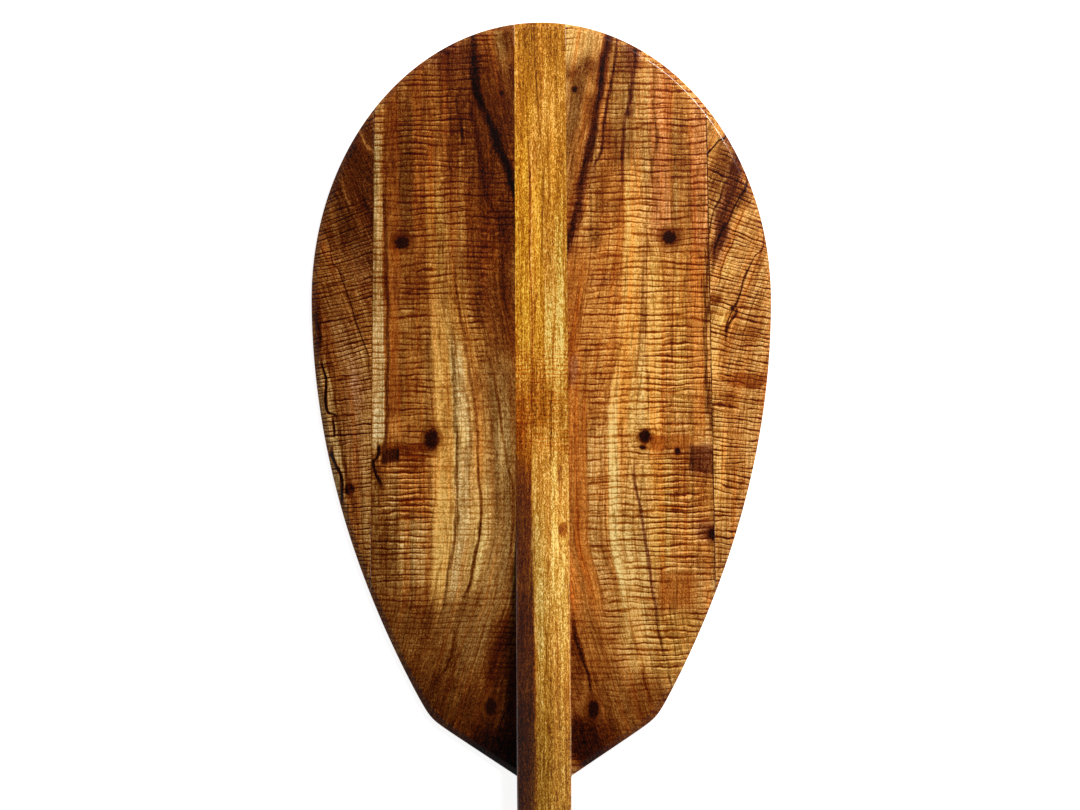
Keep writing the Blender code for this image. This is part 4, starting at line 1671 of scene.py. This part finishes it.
STAVE_WOOD = Koa(
    name="koa_stave",
    base=0.81,
    tones=STAVE_TONES,
    seed=5,
    grains=((3.6, 90, 0.07), (1.2, 26, 0.08), (0.8, 3, 0.13), (0.55, 1, 0.2)),
    pore=0.3,
    thread=0.16,
    hue=0.35,
    waver=2,
    curl=Curl(
        pitch=2.3, run=12, depth=0.07, painted_glint=0.06, floor=0.2,
        calm=(Patch((0, 60), (400, 146), strength=1, core=0.92),
              Patch((0, 900), (400, 646), strength=1, core=0.98)),
    ),
    bands=(
        # Columns of the flat upper stave
        Band((-16, -7.2), (66, 210), 0.82, Tint.HONEY, soft=0.8, ends=24),
        Band((-5.2, 1.2), (92, 208), 0.86, Tint.HONEY, soft=0.8, strength=0.7),
        Band((1.6, 6.6), (166, 228), 0.95, Tint.YELLOW, soft=1),
        Band((8.4, 13.2), (116, 226), 0.97, Tint.YELLOW, soft=1),
        # Ridge, and the left bevel beside it, darkened by painted shade where it faces away from the lamp
        # and by darker wood
        Band((5, 9.2), (262, 356), 0.92, Tint.YELLOW, soft=1, strength=0.8),
        Band((-4.6, 0.4), (298, 386), 0.85, Tint.STRAW, soft=1, strength=0.6),
        Band((9.4, 14), (300, 396), 0.8, Tint.YELLOW, soft=1, strength=0.6),
        Band((-30, -11), (226, 264), 0.6, Tint.RED, soft=1.5, ends=18, strength=0.8),
        Band((-30, -7.2), (262, 340), 0.47, Tint.RED, soft=0.8, ends=16, strength=0.85),
        Band((-30, -5.6), (340, 400), 0.35, Tint.RED, soft=0.8, ends=20),
        Band((-30, -4.8), (400, 530), 0.21, Tint.RED, soft=0.8, ends=24, tail=60),
        # Painted shade and darker wood thinning out along the round shaft
        Band((-30, -8), (520, 760), 0.25, Tint.RED, soft=3, ends=90, tail=240),
    ),
    patches=(
        Patch((0, 10), (30, 50), 0.63, 0.8, Tint.GOLD, core=0.2),
        Patch((-8, 45), (9, 40), 0.7, 0.7, Tint.HONEY),
        Patch((8, 95), (12, 64), 0.79, 0.42, Tint.HONEY),
        Patch((-3, 232), (16, 26), 0.66, 0.7, Tint.ORANGE, core=0.2),
        # Painted shade where the left bevel starts
        Patch((-13, 244), (5, 30), 0.5, 0.7, Tint.RED),
        Patch((4, 350), (16, 60), 0.83, 0.5, Tint.STRAW),
        Patch((4, 470), (20, 110), 0.65, 0.85, Tint.STRAW, core=0.3),
        Patch((12, 308), (3.5, 6), 0.46, 0.8, Tint.RED, core=0.3),
    ),
    streaks=(
        Streak(((0, -3.5), (40, -2), (62, -0.5)), 0.8, 0.5, 0.6),
        Streak(((20, -15.2), (100, -15.2)), 0.6, 0.86, 0.6, tint=Tint.GOLD),
        Streak(((86, -6.3), (130, -6.8), (200, -5.8), (240, -6.4), (290, -7.6)), 0.9, 0.52, 0.75,
               ragged=0.8, core=0, tint=Tint.RED),
        Streak(((94, 1.8), (142, 1.2)), 0.9, 0.62, 0.6, ragged=1.5, tint=Tint.OLIVE),
        Streak(((190, 6.8), (225, 6.2), (264, 5.4)), 0.9, 0.52, 0.7, ragged=1.5, core=0),
        Streak(((366, 2.6), (400, 1.8), (430, 3), (475, 4.6)), 2.4, 0.5, 0.6, (14, 10),
               ragged=5, core=0, tint=Tint.YELLOW),
        Streak(((300, 17.6), (450, 17.6)), 0.6, 0.98, 0.7),
    ),
)

GRIP_WOOD = Koa(
    name="koa_grip",
    base=0.46,
    seed=83,
    gloss=0.14,
    patches=(
        Patch((0, 1300), (60, 30), 0.56, 0.7),
    ),
)

PEG_WOOD = Koa(
    name="pale_hardwood",
    base=0.86,
    seed=3,
    gloss=0.4,
    grains=((2, 40, 0.05), (0.5, 6, 0.05)),
    thread=0,
    hue=0,
)


@dataclass(frozen=True)
class Panel:
    """Board in one half of the blade, on the side of the centre line that it names."""

    side: Side
    blade: BladeForm
    wood: Koa

    PLACE = ""

    def plan(self) -> list[list[Point2]]:
        """Rows of plan points (x, station) from the board's upper end to its lower one."""
        raise NotImplementedError

    def build(self) -> Piece:
        """Model the board from a slab.

        Returns:
            The board.
        """
        grid = self.plan()
        name = f"visual_{self.PLACE}_panel_{self.side.word}"
        board = slab(name, len(grid[0]) - 1, len(grid) - 1)
        draw_board(board, self.blade, grid)
        close_up(board)
        return board

    def dress(self, board: Piece) -> None:
        """Varnish the board and set it in the paddle's frame."""
        material = self.wood.dress(self.side.value, self.blade)
        mount(board, f"{self.PLACE}_panel_{self.side.word}", material)


@dataclass(frozen=True)
class InnerPanel(Panel):
    """Broad curly board between the stave and the outer seam."""

    columns: int = 54
    rows: int = 150

    PLACE = "inner"

    def across(self, station: float, share: float) -> float:
        """Place at a share of the board's breadth."""
        inner = self.blade.stave_seam(station) + self.blade.seam_gap
        return lerp(inner, self.blade.outer_seam(station) - self.blade.seam_gap, share)

    def station_at(self, share: float, distance: float, low: float, high: float) -> float:
        """Station between two others at which a column is a distance from the rim."""
        blade = self.blade
        return solve(lambda s: blade.rim_distance(self.across(s, share), s) - distance, low, high)

    def plan(self) -> list[list[Point2]]:
        """Rows of plan points from the rounded top to the shoulder.

        Returns:
            Points (x, station), with the rim's levels close together at both ends.
        """
        blade = self.blade
        levels = blade.rim_levels()
        lines = []
        for j in range(self.columns + 1):
            share = j / self.columns
            upper = [self.station_at(share, d, 0.0, blade.widest) for d in levels]
            lower = [self.station_at(share, d, blade.widest, blade.length) for d in levels]
            middle = spread(upper[-1], lower[-1], self.rows)[:-1]
            stations = upper + middle + lower[::-1]
            lines.append([(self.side.value * self.across(s, share), s) for s in stations])
        return [list(row) for row in zip(*lines)]


@dataclass(frozen=True)
class OuterPanel(Panel):
    """Crescent of redder wood from the outer seam to the blade's side."""

    columns: int = 26
    rows: int = 190

    PLACE = "outer"

    def seam(self, station: float) -> float:
        """Inner edge of the crescent at a station."""
        return self.blade.outer_seam(station) + self.blade.seam_gap

    def seam_inside(self, station: float) -> float:
        """Distance of the seam from the rim, below 0 outside the blade."""
        return self.blade.rim_distance(self.seam(station), station)

    def x_at(self, distance: float, station: float) -> float:
        """Place across the crescent that is a distance from the rim, or else the seam.

        Args:
            distance: Distance from the rim.
            station: Distance from the tip.

        Returns:
            Distance from the centre line.
        """
        seam = self.seam(station)
        if self.seam_inside(station) <= distance:
            return seam
        half = self.blade.width / 2
        return solve(lambda x: self.blade.rim_distance(x, station) - distance, seam, half)

    def plan(self) -> list[list[Point2]]:
        """Rows of plan points from the crescent's upper horn to its lower one.

        Returns:
            Points (x, station), with the rim's levels close together along the side.
        """
        blade = self.blade
        top = solve(self.seam_inside, 0.0, blade.widest)
        bottom = solve(self.seam_inside, blade.widest, blade.length)
        levels = blade.rim_levels()
        grid = []
        for i in range(self.rows + 1):
            station = top + (bottom - top) * (1 - math.cos(math.pi * i / self.rows)) / 2
            seam = self.seam(station)
            rim = [self.x_at(d, station) for d in levels]
            inner = [lerp(seam, rim[-1], j / self.columns) for j in range(self.columns)]
            grid.append([(self.side.value * x, station) for x in inner + rim[::-1]])
        return grid


@dataclass(frozen=True)
class ShaftStave:
    """One stave: the middle of the blade, the spine, the shaft and the tenon."""

    form: ShaftForm
    wood: Koa
    points: int = 112
    wall_angle: float = 2 * math.pi / 28
    bevel_angle: float = 10 * math.pi / 28
    flat_rows: int = 60
    spine_rows: int = 110
    throat_rows: int = 50
    shaft_rows: int = 40
    sharp_degrees: float = 24.0

    def placed(self, row: float, x: float, share: float, top: bool) -> Point3:
        """Point of the stave inside the blade.

        Args:
            row: Station of the section on the centre line.
            x: Place across.
            share: Share of the way from the middle of the thickness to the surface.
            top: Whether the point is on the upper side.

        Returns:
            Point (x, station, height).
        """
        form, blade = self.form, self.form.blade
        half = blade.stave_seam(row) - blade.seam_gap
        curve = blade.widest * (1 - math.sqrt(1 - (2 * x / blade.width) ** 2))
        station = row + curve * max(0.0, 1 - row / form.tip_curve_reach)
        upper = form.stave_top(x, half, station)
        lower = blade.back_height(blade.side_distance(x, station))
        return x, station, lerp((upper + lower) / 2, upper if top else lower, share)

    def blade_section(self, row: float) -> Section:
        """Section of the stave inside the blade.

        Args:
            row: Station of the section on the centre line.

        Returns:
            Points (x, station, height), from the right wall over the top.
        """
        form, blade = self.form, self.form.blade
        half = blade.stave_seam(row) - blade.seam_gap
        drop = min(form.spine_rise(row), form.bevel_drop)
        crest = half - form.bevel_width_at(drop)
        quarter = math.pi / 2
        section = []
        for k in range(self.points):
            angle = 2 * math.pi * k / self.points
            top = angle <= math.pi
            turn = min(angle, abs(math.pi - angle))
            if not top:
                turn = min(angle - math.pi, 2 * math.pi - angle)
            hand = 1 if math.cos(angle) >= 0 else -1
            wall = clamp(turn / self.wall_angle)
            if wall < 1.0:
                x = half
            elif not top:
                x = half * clamp((quarter - turn) / (quarter - self.wall_angle))
            elif turn <= self.bevel_angle:
                share = (turn - self.wall_angle) / (self.bevel_angle - self.wall_angle)
                x = lerp(half, crest, share)
            else:
                x = crest * (quarter - turn) / (quarter - self.bevel_angle)
            section.append(self.placed(row, hand * x, wall, top))
        return section

    def blended_section(self, station: float) -> Section:
        """Section between the throat and the full round of the shaft.

        Args:
            station: Distance from the tip.

        Returns:
            Points (x, station, height).
        """
        blade = self.form.blade
        share = ease((station - blade.length) / self.form.throat_blend)
        shaft = self.form.shaft_ring(self.points, station)
        pairs = zip(self.blade_section(blade.length), shaft)
        return [(lerp(a[0], b[0], share), station, lerp(a[2], b[2], share)) for a, b in pairs]

    def sections(self) -> list[Section]:
        """Sections from the tip to the end of the tenon.

        Returns:
            One list of points (x, station, height) for each.
        """
        form, blade = self.form, self.form.blade
        spine_start = blade.length - form.spine_length
        blend_end = blade.length + form.throat_blend
        rows = blade.rim_levels()
        rows += spread(rows[-1], spine_start, self.flat_rows)
        rows += spread(spine_start, blade.length, self.spine_rows)
        found = [self.blade_section(row) for row in rows]
        throat = spread(blade.length, blend_end, self.throat_rows)
        found += [self.blended_section(station) for station in throat]
        shaft = spread(blend_end, form.shoulder, self.shaft_rows)
        found += [form.shaft_ring(self.points, station) for station in shaft]
        for station in (form.shoulder, form.shoulder + form.tenon_length):
            found.append(form.shaft_ring(self.points, station, form.tenon_share))
        return found

    def build(self) -> Piece:
        """Model the stave from a post."""
        tip_y = self.form.blade.tip_y
        return turned("visual_shaft_stave", self.sections(), tip_y, self.sharp_degrees)

    def dress(self, stave: Piece) -> None:
        """Varnish the stave and set it in the paddle's frame."""
        mount(stave, "shaft_stave", self.wood.dress(1, self.form.blade))


@dataclass(frozen=True)
class GripCrossbar:
    """T grip whose neck takes the shaft's tenon."""

    form: ShaftForm
    wood: Koa
    points: int = 96
    neck_rows: int = 4
    flare_rows: int = 26
    corner_rows: int = 12
    crown_rows: int = 24
    sharp_degrees: float = 30.0

    def profile(self) -> list[tuple[float, float, float, float]]:
        """Sections of the grip by their measures.

        Returns:
            Place from the mouth, half width, half depth and squareness of each.
        """
        form = self.form
        half_shaft, half_depth = form.width / 2, form.depth / 2
        half_bar = form.grip_width / 2
        bar_start = form.neck_length + form.flare_length
        flare = half_bar - form.bar_corner - half_shaft
        places = [0.0, *spread(0.0, form.neck_length, self.neck_rows)[:-1]]
        profile = [(place, half_shaft, half_depth, form.squareness) for place in places]
        for angle in [0.0, *spread(0.0, math.pi / 2, self.flare_rows)]:
            share = 1 - math.cos(angle)
            profile.append((
                form.neck_length + form.flare_length * math.sin(angle),
                half_shaft + flare * share, half_depth,
                lerp(form.squareness, form.bar_squareness, share)))
        for angle in spread(0.0, math.pi / 2, self.corner_rows):
            profile.append((
                bar_start + form.bar_corner * (1 - math.cos(angle)),
                half_bar - form.bar_corner + form.bar_corner * math.sin(angle),
                half_depth, form.bar_squareness))
        crown = (form.bar_depth - form.bar_corner) / math.sin(form.crown_angle)
        for angle in spread(0.0, form.crown_angle, self.crown_rows):
            profile.append((
                bar_start + form.bar_corner + crown * math.sin(angle),
                half_bar * math.cos(angle) ** (2 / form.bar_squareness),
                half_depth * math.sqrt(math.cos(angle)), form.bar_squareness))
        return profile

    def sections(self) -> list[Section]:
        """Sections from the mouth to the crown."""
        return [self.form.ring(self.points, self.form.mouth + along, half_x, half_z, square)
                for along, half_x, half_z, square in self.profile()]

    def build(self) -> Piece:
        """Model the grip from a post and cut its mortise and peg hole.

        Returns:
            The grip.
        """
        form = self.form
        tip_y = form.blade.tip_y
        grip = turned("visual_grip_crossbar", self.sections(), tip_y, self.sharp_degrees)
        cut_out(grip, self.mortise())
        hole_top = form.depth - form.peg_cover + form.joint_gap
        hole = dowel(form, form.peg_radius + form.joint_gap, -form.blade.thickness, hole_top)
        cut_out(grip, hole)
        close_up(grip, self.sharp_degrees)
        return grip

    def mortise(self) -> Piece:
        """Space for the tenon, open at the mouth.

        Returns:
            The cutter.
        """
        form = self.form
        share = form.tenon_share + 2 * form.joint_gap / form.depth
        bottom = form.shoulder + form.tenon_length + form.joint_gap
        rings = [form.shaft_ring(self.points, station, share)
                 for station in (form.shoulder - MERGE, bottom)]
        return turned("mortise", rings, form.blade.tip_y)

    def dress(self, grip: Piece) -> None:
        """Varnish the grip and set it in the paddle's frame."""
        mount(grip, "grip_crossbar", self.wood.dress(1, self.form.blade))


def dowel(form: ShaftForm, radius: float, bottom: float, top: float) -> Piece:
    """Upright round bar on the peg's axis.

    Args:
        form: Form of the shaft, for the peg's place.
        radius: The bar's radius.
        bottom: Height of its lower end.
        top: Height of its upper end.

    Returns:
        The bar, with its place in its mesh.
    """
    station = form.shoulder + form.peg_from_shoulder
    deselect_all()
    bpy.ops.mesh.primitive_cylinder_add(
        vertices=form.peg_points, radius=radius, depth=top - bottom,
        location=(0.0, form.blade.tip_y - station, (top + bottom) / 2))
    bpy.ops.object.transform_apply(location=True, rotation=True, scale=True)
    return bpy.context.object


@dataclass(frozen=True)
class GripPeg:
    """Dowel that locks the tenon, chamfered at both ends."""

    form: ShaftForm
    wood: Koa
    chamfer: float = 0.0003
    chamfer_steps: int = 2

    def build(self) -> Piece:
        """Model the dowel from a cylinder with both rims bevelled.

        Returns:
            The dowel.
        """
        form = self.form
        peg = dowel(form, form.peg_radius, form.peg_recess, form.depth - form.peg_cover)
        peg.name = peg.data.name = "visual_grip_peg"
        bpy.ops.object.mode_set(mode="EDIT")
        bpy.ops.mesh.select_all(action="DESELECT")
        bpy.ops.object.mode_set(mode="OBJECT")
        for edge in peg.data.edges:
            ends = [peg.data.vertices[i].co.z for i in edge.vertices]
            edge.select = abs(ends[0] - ends[1]) < MERGE
        bpy.ops.object.mode_set(mode="EDIT")
        bpy.ops.mesh.bevel(offset=self.chamfer, segments=self.chamfer_steps, affect="EDGES")
        bpy.ops.object.mode_set(mode="OBJECT")
        close_up(peg)
        return peg

    def dress(self, peg: Piece) -> None:
        """Finish the dowel and set it in the paddle's frame."""
        mount(peg, "grip_peg", self.wood.dress(1, self.form.blade))


@dataclass(frozen=True)
class Studio:
    """Pale floor, soft lamps and a camera straight above the blade."""

    aim: Point3 = (-0.0012, 0.427, 0.009)
    distance: float = 1.6
    frame_width: float = 0.6550
    sensor: float = 36.0
    roll_degrees: float = 0.34
    clip: Point2 = (0.05, 50.0)
    floor_size: float = 8.0
    floor_drop: float = 0.0004
    floor_tone: float = 0.86
    floor_glow: float = 0.86
    floor_roughness: float = 0.9
    key_place: Point3 = (0.80, 1.36, 1.03)
    key_size: Point2 = (0.55, 0.55)
    key_power: float = 29.5
    key_colour: Point3 = (1.0, 0.98, 0.95)
    window_place: Point3 = (0.75, 1.45, 0.95)
    window_size: Point2 = (2.0, 0.30)
    window_power: float = 5.0
    window_colour: Point3 = (1.0, 0.94, 0.94)
    sky: Point3 = (1.0, 0.985, 0.96)
    fill: float = 0.15
    ceiling: float = 0.02
    ceiling_span: Point2 = (0.80, 0.97)

    def camera(self) -> None:
        """Camera that looks down with the blade's tip at the top of the picture."""
        data = bpy.data.cameras.new("camera_above_blade")
        data.sensor_width = self.sensor
        data.lens = self.sensor * (self.distance - self.aim[2]) / self.frame_width
        data.clip_start, data.clip_end = self.clip
        camera = bpy.data.objects.new(data.name, data)
        bpy.context.scene.collection.objects.link(camera)
        camera.location = (self.aim[0], self.aim[1], self.distance)
        camera.rotation_euler = (0.0, 0.0, math.radians(-self.roll_degrees))
        bpy.context.scene.camera = camera

    def floor(self) -> None:
        """Pale floor, white to the camera, that keeps the paddle's shadow."""
        deselect_all()
        bpy.ops.mesh.primitive_plane_add(size=self.floor_size, location=(0, 0, -self.floor_drop))
        floor = bpy.context.object
        floor.name = floor.data.name = "studio_floor"
        material = bpy.data.materials.new("pale_floor")
        material.use_nodes = True
        tree = material.node_tree
        shader = tree.nodes["Principled BSDF"]
        tone = self.floor_tone
        glow = {0: self.seen_rays(tree), 1: self.floor_glow}
        feed(tree, shader, {
            "Base Color": (tone, tone, tone, 1.0),
            "Roughness": self.floor_roughness,
            "Specular IOR Level": 0.0,
            "Emission Color": WHITE,
            "Emission Strength": make_node(tree, "ShaderNodeMath", glow, operation="MULTIPLY").outputs[0],
        })
        floor.data.materials.append(material)

    def seen_rays(self, tree: bpy.types.NodeTree) -> Socket:
        """Rays by which the floor is seen.

        Args:
            tree: Nodes of the floor's material.

        Returns:
            1 for camera, glossy and transmission rays and 0 for the rest.
        """
        rays = make_node(tree, "ShaderNodeLightPath").outputs
        either = rays["Is Camera Ray"]
        for name in ("Is Glossy Ray", "Is Transmission Ray"):
            both = {0: either, 1: rays[name]}
            either = make_node(tree, "ShaderNodeMath", both, operation="MAXIMUM").outputs[0]
        return either

    def world(self) -> None:
        """Soft even light from all round, which the camera sees as white."""
        world = bpy.data.worlds.new("studio")
        bpy.context.scene.world = world
        world.use_nodes = True
        tree = world.node_tree
        place = make_node(tree, "ShaderNodeTexCoord").outputs["Generated"]
        height = make_node(tree, "ShaderNodeSeparateXYZ", {0: place}).outputs[2]
        # Dimmer straight overhead, so that the varnish doesn't mirror a pale sky
        levels = dict(enumerate((height, *self.ceiling_span, self.fill, self.ceiling)))
        overhead = make_node(tree, "ShaderNodeMapRange", levels, interpolation_type="SMOOTHSTEP")
        light = tree.nodes["Background"]
        feed(tree, light, {"Color": (*self.sky, 1.0), "Strength": overhead.outputs[0]})
        white = make_node(tree, "ShaderNodeBackground", {"Color": WHITE, "Strength": 1.0})
        seen = make_node(tree, "ShaderNodeLightPath").outputs["Is Camera Ray"]
        both = {0: seen, 1: light.outputs[0], 2: white.outputs[0]}
        blend = make_node(tree, "ShaderNodeMixShader", both)
        feed(tree, tree.nodes["World Output"], {0: blend.outputs[0]})

    def lamp(self, name: str, place: Point3, size: Point2, power: float,
             colour: Point3) -> None:
        """Soft lamp turned to the blade, with its length level.

        Args:
            name: The lamp's name.
            place: Where it stands.
            size: Its length and breadth.
            power: Its power in watts.
            colour: Linear red, green and blue.
        """
        data = bpy.data.lights.new(name, "AREA")
        data.shape = "RECTANGLE"
        data.size, data.size_y = size
        data.energy = power
        data.color = colour
        lamp = bpy.data.objects.new(name, data)
        bpy.context.scene.collection.objects.link(lamp)
        lamp.location = place
        towards = Vector(self.aim) - Vector(place)
        lamp.rotation_euler = towards.to_track_quat("-Z", "Y").to_euler()

    def light(self) -> None:
        """Key lamp and a long window, both from the upper right of the picture."""
        self.lamp("key_lamp", self.key_place, self.key_size, self.key_power, self.key_colour)
        self.lamp("window", self.window_place, self.window_size, self.window_power,
                  self.window_colour)


def main() -> None:
    """Build the paddle piece by piece, then the studio round it."""
    logging.basicConfig(level=logging.INFO, format="%(name)s %(message)s")
    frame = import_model()
    bpy.context.scene.view_settings.view_transform = "Standard"
    studio = Studio()
    studio.camera()
    blade = BladeForm()
    form = ShaftForm(blade)
    parts = (
        ShaftStave(form, STAVE_WOOD),
        InnerPanel(Side.LEFT, blade, INNER_LEFT_WOOD),
        InnerPanel(Side.RIGHT, blade, INNER_RIGHT_WOOD),
        OuterPanel(Side.LEFT, blade, OUTER_LEFT_WOOD),
        OuterPanel(Side.RIGHT, blade, OUTER_RIGHT_WOOD),
        GripCrossbar(form, GRIP_WOOD),
        GripPeg(form, PEG_WOOD),
    )
    for part in parts:
        part.dress(part.build())
    bare = PEG_WOOD.dress(1, blade)
    for name, node in frame["nodes"].items():
        if "_spline_" in name:
            node.data.materials.clear()
            node.data.materials.append(bare)
            log.info("%s: bare hardwood", name)
    studio.floor()
    studio.world()
    studio.light()


if __name__ == "__main__":
    main()
